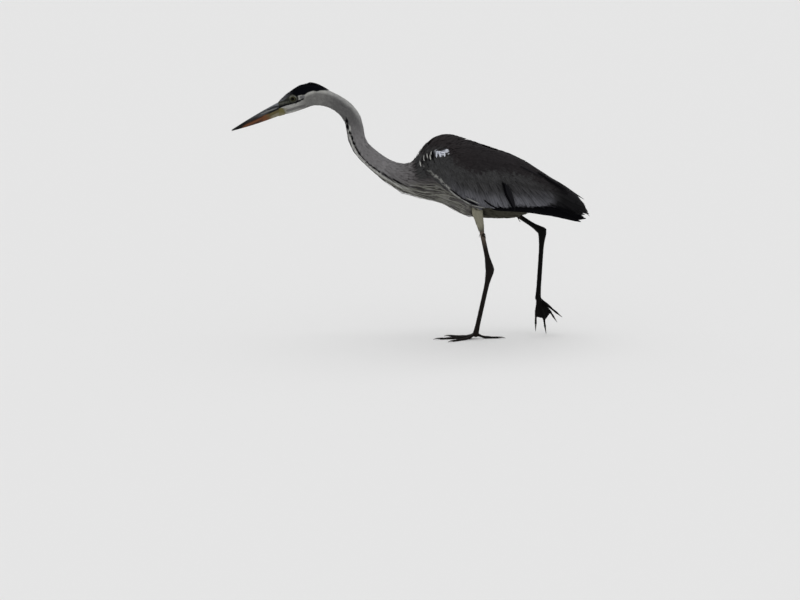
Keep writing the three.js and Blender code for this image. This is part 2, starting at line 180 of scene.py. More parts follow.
# The direction from bill to tail at each distance along the centre line.
def spineHeading(along):
    middles = (spineAlong[1:] + spineAlong[:-1]) / 2
    heading = np.unwrap(np.arctan2(spineSteps[:, 1], spineSteps[:, 0]))
    turned = np.interp(along, middles, heading)
    return np.stack([np.zeros_like(turned), np.cos(turned), np.sin(turned)], axis=1)


# Distance in mm, seen from the side, from a line between two (y, z) places.
def fromLine(points, start, end):
    flat = points[:, 1:] / mm - np.array(start)
    step = np.array(end, float) - np.array(start)
    share = np.clip(flat @ step / (step @ step), 0, 1)
    return np.linalg.norm(flat - share[:, None] * step, axis=1), share


# Skin.

skinMaking = {
    "overlap": 0.5,  # how much neighbouring solids are swollen, so that they grow together
    "sunk": 1.6,  # how far a solid lies back where a neighbouring section takes over
    "headVoxel": 1.35, "bodyVoxel": 3.2, "legVoxel": 1.2,
    "headRounds": 26, "bodyRounds": 30, "legRounds": 6,
    "kept": 0.78,  # share of the faces left at the end
}
# How far the skin lies under the coat's surface, in mm.
coatDepth = {
    "head": 1.7, "neck_upper": 3.0, "neck_middle": 3.4, "neck_lower": 4.6, "trunk": 7.5,
    "wing_left": 3.2, "wing_right": 3.2, "tail": 2.6, "thigh_left": 3.4, "thigh_right": 3.4,
}
face = {
    "eye": (-273.6, 557.6), "bareRound": 8.4, "ringRadius": 7.5,  # bare skin and pale ring round the eye
    "billRoot": (-305, 544.0), "bareLores": 6.6,
    "gape": [(-279.5, 545), (-306, 537.2)], "gapeDepth": 1.0, "gapeWidth": 0.9,
    "lidRadius": 6.9, "lidThickness": 1.35, "lidOut": 16.0, "lidLean": (1, -0.15, 0.16),
    # The lower edge of the black crown, as (y, z) places seen from the side.
    "crownEdge": [(-306, 550), (-296, 553), (-286, 559.5), (-280, 564.2), (-273, 566.8), (-268, 565),
                  (-264.5, 562.5), (-260, 565), (-254, 566), (-247, 566), (-239, 571.5), (-227, 574.6),
                  (-218.6, 572.6), (-210, 574.5), (-198.5, 574), (-190, 571), (-174, 566)],
}
legJoints = {
    "left": {"knee": (45, 127, 369), "hock": (24, 176, 156), "ankle": (15, 145, 11)},
    "right": {"knee": (-45, 127, 355), "hock": (-26, 309.6, 233), "ankle": (-17, 298, 84)},
}
scute = {"pitch": 4.6, "depth": 0.35}
neckNodes = ["neck_upper", "neck_middle", "neck_lower"]
wingNodes = ["wing_left", "wing_right"]
thighNodes = ["thigh_left", "thigh_right"]
bodyNodes = ["trunk", *wingNodes, "tail", *thighNodes]
legNodes = [f"{part}_{side}" for part in ("shank", "tarsus", "foot") for side in sides]


# Leaves only what lies behind a plane across the bird.
def keepBehind(obj, y):
    activate(obj)
    bpy.ops.object.mode_set(mode="EDIT")
    bpy.ops.mesh.select_all(action="SELECT")
    bpy.ops.mesh.bisect(plane_co=(0, y * mm, 0), plane_no=(0, 1, 0), use_fill=True, clear_inner=True)
    bpy.ops.object.mode_set(mode="OBJECT")


def section(name, whole, sunk, voxel, rounds, sunkFrom=None):
    parts = [copyOf(n, skinMaking["overlap"]) for n in whole]
    under = [copyOf(n, -skinMaking["sunk"]) for n in sunk]
    if sunkFrom is not None:
        for part in under:
            keepBehind(part, sunkFrom)
    obj = joined(name, parts + under)
    applyModifier(obj, "REMESH", mode="VOXEL", voxel_size=voxel * mm)
    applyModifier(obj, "SMOOTH", factor=0.5, iterations=rounds)
    return obj


# Height of a line over a place along the bird.
def over(line, y):
    ys, zs = zip(*line)
    return np.interp(y, ys, zs)


# How much of the face is bare skin at each point, from 0 to 1.
def bareness(points):
    toEye, share = fromLine(points, face["eye"], face["billRoot"])
    reach = face["bareRound"] + (face["bareLores"] - face["bareRound"]) * share
    y, z = points[:, 1] / mm, points[:, 2] / mm
    belowCrown = ease(z - over(face["crownEdge"], y), 1.5, 0)
    lores = ease(toEye, reach + 1, reach - 1) * ease(y, -258, -266) * belowCrown
    chin = ease(y + 0.5 * (z - 528), -289, -293) * ease(z, 538, 536)
    return np.maximum(lores, chin)


# Lowers a skin by the depth of the coat over it, less where the part is thin.
def sink(obj, names):
    surfaces = [Surface(nodes[n]) for n in names]
    points, normals = pointsOf(obj), normalsOf(obj)
    nearest = np.array([s.nearest(points)[2] for s in surfaces]).argmin(axis=0)
    wanted = np.array([coatDepth[n] for n in names])[nearest] * (1 - bareness(points))
    wanted = (wanted + skinMaking["overlap"]) * mm
    tree = BVHTree.FromObject(obj, bpy.context.evaluated_depsgraph_get())
    for i, (p, n) in enumerate(zip(points, normals)):
        hit = tree.ray_cast(Vector(p - n * 1e-5), Vector(-n), 0.03)
        if hit[3] is not None:
            wanted[i] = min(wanted[i], 0.33 * hit[3])
    wanted = evened(obj, wanted, 10)
    movePoints(obj, points - normals * wanted[:, None])
    applyModifier(obj, "SMOOTH", factor=0.5, iterations=3)


# Brings the bare skin of the face out to the surface of the frame's head.
def fitFace(obj):
    points = pointsOf(obj)
    places = Surface(nodes["head"]).nearest(points)[0]
    y = points[:, 1] / mm
    share = bareness(points) * ease(y, -304.5, -302.5)
    share = evened(obj, np.where(y < -302.5, np.maximum(share, ease(y, -304.5, -303)), share), 3)
    points = points + (places - points) * share[:, None]
    movePoints(obj, points)
    applyModifier(obj, "SMOOTH", factor=0.5, iterations=2)


# Finer faces where a test on their centres is true.
def refine(obj, test):
    mesh = obj.data
    centres = np.empty(len(mesh.polygons) * 3)
    mesh.polygons.foreach_get("center", centres)
    activate(obj)
    bpy.ops.object.mode_set(mode="EDIT")
    bpy.ops.mesh.select_all(action="DESELECT")
    bpy.ops.object.mode_set(mode="OBJECT")
    mesh.polygons.foreach_set("select", test(centres.reshape(-1, 3) / mm))
    bpy.ops.object.mode_set(mode="EDIT")
    bpy.ops.mesh.subdivide(number_cuts=1, smoothness=0.6)
    bpy.ops.object.mode_set(mode="OBJECT")


# The crease of the mouth runs on from the bill to below the eye.
def creaseGape(obj):
    points, normals = pointsOf(obj), normalsOf(obj)
    away, share = fromLine(points, *face["gape"])
    depth = face["gapeDepth"] * np.exp(-(away / face["gapeWidth"]) ** 2) * (0.5 + 0.5 * share)
    movePoints(obj, points - normals * (depth * mm * (np.abs(points[:, 0]) > 4 * mm))[:, None])


# The fleshy ring of the lids, raised over the edge of the eye.
def lidRing(side):
    lean = Vector(face["lidLean"])
    lean.x *= side
    bpy.ops.mesh.primitive_torus_add(
        major_radius=face["lidRadius"] * mm, minor_radius=face["lidThickness"] * mm,
        major_segments=56, minor_segments=16,
        location=(side * face["lidOut"] * mm, face["eye"][0] * mm, face["eye"][1] * mm),
        rotation=lean.to_track_quat("Z", "Y").to_euler())
    ring = bpy.context.object
    bpy.ops.object.transform_apply(location=True, rotation=True, scale=True)
    bpy.ops.object.mode_set(mode="EDIT")
    bpy.ops.mesh.select_all(action="SELECT")
    bpy.ops.transform.resize(value=(1, 1.1, 0.93))
    bpy.ops.object.mode_set(mode="OBJECT")
    return ring


# Rings of plates across the front of the tarsus and over the toes.
def raiseScutes(obj):
    points, normals = pointsOf(obj), normalsOf(obj)
    depth = np.zeros(len(points))
    for side, joint in legJoints.items():
        away = np.linalg.norm(points / mm - np.array(joint["ankle"]), axis=1)
        ours = points[:, 0] * sides[side] > 0
        bare = ease(points[:, 2] / mm, joint["hock"][2] - 4, joint["hock"][2] - 14)
        groove = np.abs(np.cos(math.pi * away / scute["pitch"])) ** 6
        faceUp = ease(np.where(away < 90, normals[:, 2], -normals[:, 1]), -0.2, 0.4)
        faceUp = np.where(away > 16, np.maximum(faceUp, ease(-normals[:, 1], -0.2, 0.4)), faceUp)
        depth += ours * bare * groove * faceUp * scute["depth"]
    movePoints(obj, points - normals * (depth * mm)[:, None])


def makeSkin():
    skin = section("skin", ["head"] + neckNodes, ["bill_upper", "bill_lower"],
                   skinMaking["headVoxel"], skinMaking["headRounds"], sunkFrom=-325)
    sink(skin, ["head"] + neckNodes)
    refine(skin, lambda c: (c[:, 1] > -306) & (c[:, 1] < -262))
    fitFace(skin)
    creaseGape(skin)
    body = section("body", bodyNodes, ["neck_lower"], skinMaking["bodyVoxel"], skinMaking["bodyRounds"])
    sink(body, bodyNodes)
    legs = section("legs", legNodes, thighNodes, skinMaking["legVoxel"], skinMaking["legRounds"])
    points, normals = pointsOf(legs), normalsOf(legs)
    movePoints(legs, points - normals * 0.4 * skinMaking["overlap"] * mm)
    raiseScutes(legs)
    for part in [body, legs] + [lidRing(side) for side in sides.values()]:
        applyModifier(skin, "BOOLEAN", operation="UNION", solver="MANIFOLD", object=part)
        bpy.data.objects.remove(part)
    applyModifier(skin, "DECIMATE", ratio=skinMaking["kept"])
    return skin



# Some of the frame's solids as one search tree, with the name of each face's solid.
def treeOf(names):
    corners, faces, owner, start = [], [], [], 0
    for name in names:
        mesh = nodes[name].data
        index = np.empty(len(mesh.loops), int)
        mesh.loops.foreach_get("vertex_index", index)
        corners.append(pointsOf(nodes[name]))
        faces += (index.reshape(-1, 3) + start).tolist()
        owner += [name] * (len(index) // 3)
        start += len(corners[-1])
    return BVHTree.FromPolygons(np.concatenate(corners).tolist(), faces), np.array(owner)


def nearestPart(points, names):
    tree, owner = treeOf(names)
    return owner[[tree.find_nearest(Vector(p))[2] for p in points]]


skin = makeSkin()
print("skin", len(skin.data.vertices), "points")
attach(skin, "root")
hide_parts("head", *neckNodes, *bodyNodes, *legNodes)


# Plumage colours.

# Base colours, as linear red, green and blue.
tones = {
    "crown": (0.0038, 0.0040, 0.0062), "forehead": (0.150, 0.153, 0.168), "white": (0.50, 0.50, 0.475),
    "cheek": (0.215, 0.214, 0.206), "lores": (0.036, 0.038, 0.029), "ring": (0.190, 0.192, 0.165),
    "behindEye": (0.190, 0.190, 0.195), "bareYellow": (0.150, 0.135, 0.055),
    # The nape's tone is painted light, paler along the top of the neck.
    "neck": (0.230, 0.224, 0.228), "neckShade": (0.140, 0.138, 0.138), "litNape": (0.52, 0.52, 0.51),
    "neckBase": (0.130, 0.122, 0.124), "neckDark": (0.055, 0.051, 0.050), "streak": (0.50, 0.50, 0.48),
    # The belly's tone is partly its own and partly painted shade.
    "breast": (0.215, 0.213, 0.190), "belly": (0.049, 0.046, 0.036), "undertail": (0.40, 0.40, 0.36),
    "mantle": (0.0290, 0.0255, 0.0265), "coverts": (0.049, 0.049, 0.050), "covertTips": (0.122, 0.123, 0.138),
    "shoulder": (0.74, 0.77, 0.85), "edge": (0.30, 0.30, 0.285), "black": (0.0022, 0.0022, 0.0030),
    "tail": (0.012, 0.012, 0.014), "thigh": (0.270, 0.259, 0.199), "thighLow": (0.030, 0.024, 0.020),
    # The far leg's tone is painted shade.
    "legTop": (0.112, 0.088, 0.070), "leg": (0.0100, 0.0080, 0.0072), "shadedFarLeg": (0.0022, 0.0019, 0.0018),
    # The upper bill's pale blue-grey is a painted sheen.
    "hornGrey": (0.060, 0.063, 0.068), "hornSheen": (0.125, 0.132, 0.145), "hornStreak": (0.180, 0.182, 0.178),
    "hornDark": (0.022, 0.021, 0.021), "hornBlack": (0.0045, 0.0045, 0.0050), "hornRim": (0.240, 0.220, 0.160),
    "hornOrange": (0.140, 0.053, 0.021), "hornBrown": (0.034, 0.016, 0.010), "hornYellow": (0.105, 0.087, 0.037),
}
# Lines of the pattern, as (y, z) places seen from the side.
pattern = {
    "lores": [(-257.4, 553.3), (-266, 550.4), (-279, 546.6), (-289.4, 544), (-297.5, 541.2), (-305.5, 537.8)],
    "loresPale": [(-285, 551), (-302, 546.3)],
    "loresDark": [(-280, 556.2), (-291, 553.7)],
    "behindEye": [(-255.5, 561), (-250, 562.3)],
    "eyeStripe": [(-265, 551.2), (-250, 557.2)],
    "throat": [(-247, 540.8), (-263, 537.6), (-269, 535.5), (-276, 533.2), (-284, 531.2)],
    "whiteBand": [(-144, 490), (-141, 468), (-133, 444), (-120, 420.5), (-103, 403.8), (-82.7, 388.2),
                  (-59.3, 371), (-32.7, 355.2), (-10, 345)],
    "darkRow": [(-150, 510), (-146, 490), (-138, 466), (-130, 444), (-117.7, 424.1), (-99.4, 404), (-76, 387),
                (-54, 373), (-32.7, 361.5), (-12.7, 353), (14, 347.1), (34, 343.1)],
    "lowRow": [(-133, 434), (-122.1, 415.5), (-98.7, 391.6), (-72.1, 370.9), (-52, 355.4), (-25.4, 342),
               (1.3, 332), (28, 328), (54.7, 325.5)],
    "rowHalf": 1.7,
    "leadingEdge": [(5, 417), (17, 402.6), (22.3, 398), (30.2, 390.7), (36.5, 386.4), (42.6, 379.9),
                    (48.9, 376.7), (55.3, 371.2), (57.7, 366.4), (66.5, 357.4), (75.3, 350.5)],
    "shoulder": [(47, 430.5), (58, 430), (71, 434.5)],
    "shoulderHalf": 4.4, "shoulderRagged": 6,
    "wingFoot": [(40, 395), (100, 328), (150, 312), (314, 304), (409, 262)],  # pale tips hang above this
    "blackBelow": [(160, 290), (184, 300), (204, 301.5), (215, 297), (226, 304.5), (240, 305), (256, 301),
                   (290, 299), (314, 301), (340, 296.5), (353, 292.5), (365, 285), (377, 278), (390, 269),
                   (404, 266)],
    "mantleEdge": [(20, 425), (40, 438), (72, 438), (84, 411), (105, 400), (122, 390), (148, 386), (178, 387),
                   (214, 383), (244, 377), (276, 368), (293, 351), (330, 336), (369, 317)],
}


def nearLine(points, line):
    return np.min([fromLine(points, a, b)[0] for a, b in zip(line, line[1:])], axis=0)


# Colours with layers over them, each a tone's name and its share of the colour at each point.
def layered(colours, *layers):
    for tone, share in layers:
        share = np.clip(share, 0, 1)[:, None]
        colours = colours * (1 - share) + np.array(tones[tone]) * share
    return colours


# A tone for each of some points.
def plain(tone, count):
    return np.tile(np.array(tones[tone]), (count, 1))


def eyeAway(points):
    return np.linalg.norm(points[:, 1:] / mm - np.array(face["eye"]), axis=1)


# The bird's markings at points of its surface. chance is a random number for each feather, and wing is
# 1 for the wings' own feathers.
def markings(points, chance, wing, rimmed=1.0):
    y, z = points[:, 1] / mm, points[:, 2] / mm
    along, around = onSpine(points)
    aside = np.abs(points[:, 0]) / mm

    def near(name):
        return nearLine(points, pattern[name])

    # Neck: a white band beside a broken dark row, and a thin dark line down the middle.
    front = ease(along, 168, 190) * ease(y, 75, 20) * (around > 0.5) * (1 - wing)
    broken = 0.9 * np.sin(along * 0.55) + 0.6 * np.sin(along * 1.31 + 1) + (chance - 0.5) * 2.4
    darkRow, lowRow, half = near("darkRow") + broken, near("lowRow") - 0.4 * broken, pattern["rowHalf"]
    middle = ease(along, 172, 200) * ease(along, 470, 420) * (1 - wing)
    colours = layered(
        plain("neck", len(points)),
        ("neckShade", ease(along, 245, 190)),
        ("cheek", 0.85 * ease(along, 152, 100)),
        # Paler along the top of the upper neck: painted light from above.
        ("litNape", ease(around, 0.36, 0.12) * ease(along, 250, 170) * (0.62 + 0.2 * ease(along, 96, 150))),
        ("neckBase", ease(along, 330, 425)),
        ("breast", front * ease(over(pattern["darkRow"], y) - z, -1, 2) * ease(y, -160, -60)),
        ("streak", front * ease(near("whiteBand"), 3.8, 2.4) * ease(y, 10, -40)),
        ("black", front * ease(darkRow, half + 0.7, half - 0.5)),
        ("black", front * ease(lowRow, half + 0.2, half - 0.8) * (chance < 0.8)),
        ("black", middle * ease(around + (chance - 0.5) * 0.05, 0.925, 0.955)))

    # Breast, belly and back.
    low = ease(around, 0.52, 0.66) * ease(y, -30, 20) * (1 - wing)
    colours = layered(
        colours,
        ("breast", low * ease(y, 146, 112) * (chance < 0.68)),
        ("streak", 0.55 * low * ease(y, 115, 30) * (chance > 0.86)),
        ("neckDark", low * ease(y, 135, 70) * (chance > 0.68) * (chance < 0.86)),
        # The belly's dark brownish tone is partly its own colour and partly painted shade under the body.
        ("belly", low * ease(y, 118, 146)),
        ("undertail", low * ease(y, 278, 305)),
        ("tail", ease(y, 318, 335) * (1 - wing)),
        ("mantle", ease(y, -6, 18) * ease(around, 0.62, 0.42)))

    # Wing: slate above, grey coverts with paler tips, black below and behind. The pale shoulder is ragged below.
    grey = ease(over(pattern["mantleEdge"], y) - z + (chance - 0.5) * 18, -8, 12) * wing
    tips = ease(z - over(pattern["wingFoot"], y), 38, 2)
    rear = y - 0.9 * (z - 300)
    under = over(pattern["blackBelow"], y) + (chance - 0.5) * 3 - z
    ragged = z < over(pattern["shoulder"], y)
    patchHalf = np.where(ragged, 4.2 + (chance - 0.6) * pattern["shoulderRagged"], pattern["shoulderHalf"])
    patch = ease(near("shoulder") - patchHalf, 0.5, -0.5) * wing * ease(aside, 30, 38) * ease(y, 76, 73)
    rim = ease(near("leadingEdge") + (chance - 0.5) * 2.0, 2.8, 1.2) * wing * rimmed * ease(aside, 24, 30)
    colours = layered(
        colours,
        ("mantle", wing * ease(y, 10, 30)),
        ("tail", 0.35 * wing * ease(y, 60, 160)),
        ("coverts", grey * (1 - 0.45 * ease(y, 210, 300))),
        ("covertTips", 0.85 * grey * tips * ease(y, 60, 110) * ease(rear, 318, 300)),
        ("black", 0.8 * wing * np.maximum(ease(rear, 308, 322), ease(y, 300, 350))),
        ("black", wing * ease(under, -1, 0.5) * ease(y, 150, 175)),
        ("shoulder", patch * ease(y, 43, 47) * (0.9 + 0.1 * (chance > 0.3))),
        ("edge", rim * (0.45 + 0.55 * ease(y, 25, 45)) * (chance > 0.2)))

    # Head: pale cheek, dark round the eye, bare lores and chin, black crown with a grey forehead.
    # The white ends sooner on the throat's underside: painted shade under the head.
    whiteEnd = -262 + 62 * ease(around, 0.55, 0.20)
    fromEye = eyeAway(points)
    dark = ease(fromEye, 14.5, 11.5) * ease(y, -271, -265)
    bare = bareness(points)
    crown = ease(z - over(face["crownEdge"], y), -0.8, 0.8) * ease(y, -188, -198)
    return layered(
        colours,
        ("white", ease(y, whiteEnd + 26, whiteEnd - 14) * ease(along, 150, 112)),
        ("neckShade", 0.75 * ease(near("throat"), 4.5, 2.0)),
        ("lores", 0.85 * dark),
        ("crown", 0.5 * dark),
        ("behindEye", ease(near("behindEye"), 4.4, 2.4)),
        ("bareYellow", 0.6 * ease(y, -281, -291) * ease(z, 538, 535)),
        ("lores", bare),
        ("ring", 0.4 * bare * ease(near("loresPale"), 2.0, 0.7)),
        ("crown", 0.6 * bare * ease(near("loresDark"), 2.0, 0.8)),
        ("crown", crown),
        ("forehead", crown * ease(y, -270, -299)),
        ("crown", ease(near("eyeStripe"), 2.1, 1.1)),
        ("bareYellow", bare * ease(z, 538, 536)),
        ("hornRim", 0.4 * bare * ease(z, 528, 524)),
        ("crown", ease(near("lores") - 0.5 * ease(y, -285, -295), 2.3, 1.2)),
        ("lores", 0.9 * ease(fromEye, 9.8, 9.0)),
        # The pale lid ring is painted mostly on its upper half: a painted highlight on the top of the lid, painted
        # shade below.
        ("ring", ease(np.abs(fromEye - face["ringRadius"]), 1.15, 0.6) * (0.12 + 0.88 * ease(z, 557, 563))))


# Feathers.

# Half width along a feather, as (share of the length, share of the greatest half width).
outlines = {
    "round": [(0, 0.3), (0.25, 0.78), (0.55, 1), (0.82, 0.86), (1, 0.2)],
    "pointed": [(0, 0.4), (0.25, 0.85), (0.5, 1), (0.78, 0.62), (1, 0.05)],
    "plume": [(0, 0.5), (0.15, 0.9), (0.4, 1), (0.65, 0.8), (0.85, 0.45), (1, 0.04)],
    "broad": [(0, 0.25), (0.12, 0.6), (0.3, 0.9), (0.5, 1), (0.68, 1), (0.82, 0.9), (0.93, 0.62), (1, 0.15)],
    "blade": [(0, 0.15), (0.12, 0.55), (0.3, 0.97), (0.45, 1), (0.65, 0.8), (0.85, 0.52), (1, 0.1)],
    "flight": [(0, 0.3), (0.1, 0.75), (0.25, 0.95), (0.45, 1), (0.65, 0.98), (0.8, 0.88), (0.92, 0.6),
               (1, 0.1)],
}
skinSurface = Surface(skin)
fleshNodes = ["head"] + neckNodes + bodyNodes
frameTree = treeOf(fleshNodes)[0]


# How far the frame's outer surface lies above each point of the skin, in mm.
def measureDepth(reach=11.0):
    depth = []
    for p, n in zip(pointsOf(skin), normalsOf(skin)):
        p, n = Vector(p), Vector(n)
        far, hit = 0.0, frameTree.ray_cast(p, n, reach * mm)
        while hit[3] is not None and far < reach * mm:
            far = (hit[0] - p).dot(n)
            hit = frameTree.ray_cast(hit[0] + n * 1e-4, n, max(reach * mm - far, 1e-6))
        depth.append(far / mm)
    return evened(skin, np.array(depth), 12)


skinDepth = skinSurface.perFace(measureDepth()) / skinSurface.perFace(np.ones(len(skin.data.vertices)))


def depthAt(points):
    return skinDepth[skinSurface.nearest(points)[3]]


# How far points lie above the frame's outer surface, in mm.
def aboveFrame(points):
    found = [frameTree.find_nearest(Vector(p)) for p in points]
    return np.array([(Vector(p) - f[0]).dot(f[1]) for p, f in zip(points, found)]) / mm


# Carries each feather's centre line over a surface, one station after another. aim gives the
# direction wanted at each point. Where the surface ends, the feather goes straight on.
def drape(surface, roots, aim, lengths, outline):
    shares = np.array([share for share, _ in outlines[outline]])
    place, normal, _, _ = surface.nearest(roots)
    places, normals = [place], [normal]
    for share in np.diff(shares):
        heading = aim(place)
        heading = unit(heading - normal * (heading * normal).sum(1, keepdims=True))
        step = (lengths * share)[:, None]
        ahead = place + heading * step
        found, facing, away, _ = surface.nearest(ahead)
        lost = (away[:, None] > 0.5 * step) | ((facing * normal).sum(1, keepdims=True) < 0.3)
        place = np.where(lost, ahead, found)
        normal = np.where(lost, normal, unit(facing + 0.5 * normal))
        places.append(place)
        normals.append(normal)
    return np.stack(places, axis=1), np.stack(normals, axis=1)


# Closed vanes round centre lines: each ring has a left edge, the top, a right edge and the underside,
# and wide feathers have a point more on each half of the top.
def vanes(places, normals, halfWidths, outline, lift, start=0.0, thick=0.3, camber=0.22, roll=0.0,
          wide=False, curl=2.0):
    shares, widths = np.array(outlines[outline]).T
    lift = np.asarray(lift)
    rise = lift if lift.ndim == 2 else start + (lift - start)[:, None] * (1 - (1 - shares) ** curl)[None, :]
    centre = places + normals * (rise * mm)[:, :, None]
    forward = unit(np.gradient(centre, axis=1))
    across = unit(np.cross(forward, normals))
    up = np.cross(across, forward)
    roll = np.broadcast_to(roll, len(places))[:, None, None]
    across = unit(across + up * np.tan(roll))
    up = np.cross(across, forward)
    half = (halfWidths[:, None] * widths[None, :] * mm)[:, :, None]
    body = thick * mm * np.clip(1.1 - shares, 0.25, 1)[None, :, None]
    corners = [-1, -0.5, 0, 0.5, 1] if wide else [-1, 0, 1]
    ring = [centre + across * half * c - up * half * camber * c * c + up * body * 0.5 * (1 - abs(c))
            for c in corners]
    ring.append(centre - up * body * 0.5 - up * half * camber * 0.25)
    corners.append(0)
    points = np.stack(ring, axis=2)
    lengths = np.cumsum(np.linalg.norm(np.diff(centre, axis=1, prepend=centre[:, :1]), axis=2), axis=1)
    corners = np.array(corners)
    across = half * corners[None, None, :]
    vane = np.stack([across, np.repeat(lengths[:, :, None], len(corners), 2)], axis=3) / mm
    patch = np.broadcast_arrays(corners[None, None, :] / 2, shares[None, :, None] - 0.5, across)[:2]
    return {"points": points, "vane": vane, "patch": np.stack(patch, axis=3), "roots": places[:, 0],
            "shares": shares, "corners": corners}


# Colours of vanes: a base for each feather, turned paler or darker at its edges, root and shaft.
def tinted(batch, colours, edge=1.0, root=0.8, shaft=1.0):
    corners = np.abs(batch["corners"])[None, :]
    sideways = 1 + (edge - 1) * corners**2 + (shaft - 1) * (corners < 0.1)
    lengthwise = (1 + (root - 1) * ease(batch["shares"], 0.5, 0))[:, None]
    shade = (lengthwise * sideways)[None, :, :, None]
    if colours.ndim == 2:
        colours = colours[:, None, None, :]
    batch["colours"] = np.clip(colours * shade, 0, 1)
    return batch


def quadsOf(count, stations, ring):
    k, r = np.meshgrid(np.arange(stations - 1), np.arange(ring), indexing="ij")
    after = (r + 1) % ring
    side = np.stack([k * ring + r, k * ring + after, (k + 1) * ring + after, (k + 1) * ring + r], axis=-1)
    caps = []
    for first, flip in ((0, True), ((stations - 1) * ring, False)):
        loops = [[0, 1, 2, 3]] if ring == 4 else [[0, 1, 2, 5], [2, 3, 4, 5]]
        caps += [[first + i for i in (reversed(loop) if flip else loop)] for loop in loops]
    one = np.concatenate([side.reshape(-1, 4), np.array(caps)])
    steps = np.arange(count)[:, None, None] * stations * ring
    return (one[None] + steps).reshape(-1, 4)


def storeColours(mesh, colours):
    layer = mesh.color_attributes.new("plumage", "FLOAT_COLOR", "POINT")
    layer.data.foreach_set("color", np.insert(colours, 3, 1.0, axis=1).ravel())


# Joins batches of vanes into one mesh, with its colours, a map along each vane, and the map on which
# each feather is a small patch at its root's place on the body's own unwrap.
def makeCoat(name, batches, material, replaces=(), unwrap=None):
    points, quads, colours, vane, bake, start = [], [], [], [], [], 0
    roots = np.concatenate([b["roots"] for b in batches])
    flat = (unwrap or bodyUnwrap)(roots)
    flat = 0.01 + 0.98 * (flat - flat.min(axis=0)) / np.maximum(np.ptp(flat, axis=0), 1e-9)
    used = 0
    for b in batches:
        shape = b["points"].shape
        faces = quadsOf(*shape[:3])
        points.append(b["points"].reshape(-1, 3))
        quads.append(faces + start)
        colours.append(np.broadcast_to(b["colours"], shape).reshape(-1, 3))
        vane.append(b["vane"].reshape(-1, 2))
        own = flat[used:used + shape[0]]
        bake.append((own[:, None, None, :] + 0.003 * b["patch"]).reshape(-1, 2))
        start += len(points[-1])
        used += shape[0]
    points, quads, colours = map(np.concatenate, (points, quads, colours))
    vane, bake = np.concatenate(vane), np.concatenate(bake)
    corner = points[quads]
    volumes = [(np.cross(corner[:, 0], corner[:, k]) * corner[:, k + 1]).sum() for k in (1, 2)]
    if sum(volumes) < 0:
        quads = quads[:, ::-1]
    mesh = bpy.data.meshes.new(name)
    mesh.vertices.add(len(points))
    mesh.vertices.foreach_set("co", points.ravel())
    mesh.loops.add(quads.size)
    mesh.loops.foreach_set("vertex_index", quads.ravel())
    mesh.polygons.add(len(quads))
    mesh.polygons.foreach_set("loop_start", np.arange(len(quads)) * 4)
    for layer, values in (("OFBake", bake), ("vane", vane)):
        mesh.uv_layers.new(name=layer).data.foreach_set("uv", values[quads.ravel()].ravel())
    storeColours(mesh, colours)
    mesh.update()
    mesh.validate()
    obj = bpy.data.objects.new(name, mesh)
    bpy.context.scene.collection.objects.link(obj)
    activate(obj)
    bpy.ops.object.shade_smooth_by_angle(angle=math.radians(40))
    mesh.materials.append(material)
    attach(obj, "root")
    if replaces:
        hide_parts(*replaces)
    print(name, len(roots), "feathers", len(quads) * 2, "triangles")


def bodyUnwrap(roots):
    along, around = onSpine(roots)
    return np.stack([along, np.sign(roots[:, 0]) * around], axis=1)


# Materials.

# Wraps a shader socket, so that sums of sockets and numbers read as plain expressions.
class Value:
    def __init__(self, tree, socket):
        self.tree = tree
        self.socket = socket

    def node(self, kind, settings=None, **inputs):
        made = self.tree.nodes.new("ShaderNode" + kind)
        for key, setting in (settings or {}).items():
            if key == "stops":
                ramp = made.color_ramp.elements
                while len(ramp) < len(setting):
                    ramp.new(0.5)
                for stop, (place, colour) in zip(ramp, setting):
                    stop.position = place
                    stop.color = colour
            else:
                setattr(made, key, setting)
        for key, value in inputs.items():
            numbered = key[0] == "n" and key[1:].isdigit()
            socket = made.inputs[int(key[1:]) if numbered else key.replace("_", " ")]
            if isinstance(value, Value):
                self.tree.links.new(value.socket, socket)
            else:
                socket.default_value = value
        return made

    def maths(self, operation, *values):
        made = self.node("Math", {"operation": operation}, **{f"n{i}": v for i, v in enumerate(values)})
        return Value(self.tree, made.outputs[0])

    def __add__(self, other):
        return self.maths("ADD", self, other)

    def __sub__(self, other):
        return self.maths("SUBTRACT", self, other)

    def __rsub__(self, other):
        return self.maths("SUBTRACT", other, self)

    def __mul__(self, other):
        return self.maths("MULTIPLY", self, other)

    def smooth(self, low, high):
        made = self.node("MapRange", {"interpolation_type": "SMOOTHSTEP"}, Value=self, From_Min=low,
                         From_Max=high)
        return Value(self.tree, made.outputs["Result"])

    __radd__ = __add__
    __rmul__ = __mul__


# A new material, with its shader and a value to build its nodes from.
def newMaterial(name, **constants):
    material = bpy.data.materials.new(name)
    material.use_nodes = True
    tree = material.node_tree
    shader = tree.nodes["Principled BSDF"]
    for key, value in constants.items():
        shader.inputs[key.replace("_", " ")].default_value = value
    return material, shader, Value(tree, None)


def out(made, name=0):
    return Value(made.id_data, made.outputs[name])


def mixed(start, share, first, second, mode="MIX"):
    made = start.node("Mix", {"data_type": "RGBA", "blend_type": mode}, n0=share, n6=first, n7=second)
    return Value(start.tree, made.outputs[2])


def link(value, shader, name):
    value.tree.links.new(value.socket, shader.inputs[name])


def noise(start, place, scale, detail, **inputs):
    return out(start.node("TexNoise", Vector=place, Scale=scale, Detail=detail, **inputs))


def plumageTone(start):
    return out(start.node("Attribute", {"attribute_name": "plumage"}), "Color")


# A colour made paler and darker by a number that is about 1.
def shaded(start, colour, tone):
    grey = out(start.node("CombineColor", Red=tone, Green=tone, Blue=tone))
    return mixed(start, 1.0, colour, grey, "MULTIPLY")


def bumped(start, shader, strength, distance, height):
    link(out(start.node("Bump", Strength=strength, Distance=distance, Height=height)), shader, "Normal")


featherLook = {
    "barbPitch": 0.55, "barbSlant": 0.9, "barbBump": 0.25, "shaftHalf": 0.28, "gloss": 0.02, "fineGrain": 900.0,
    "patchGrain": 140.0,
}


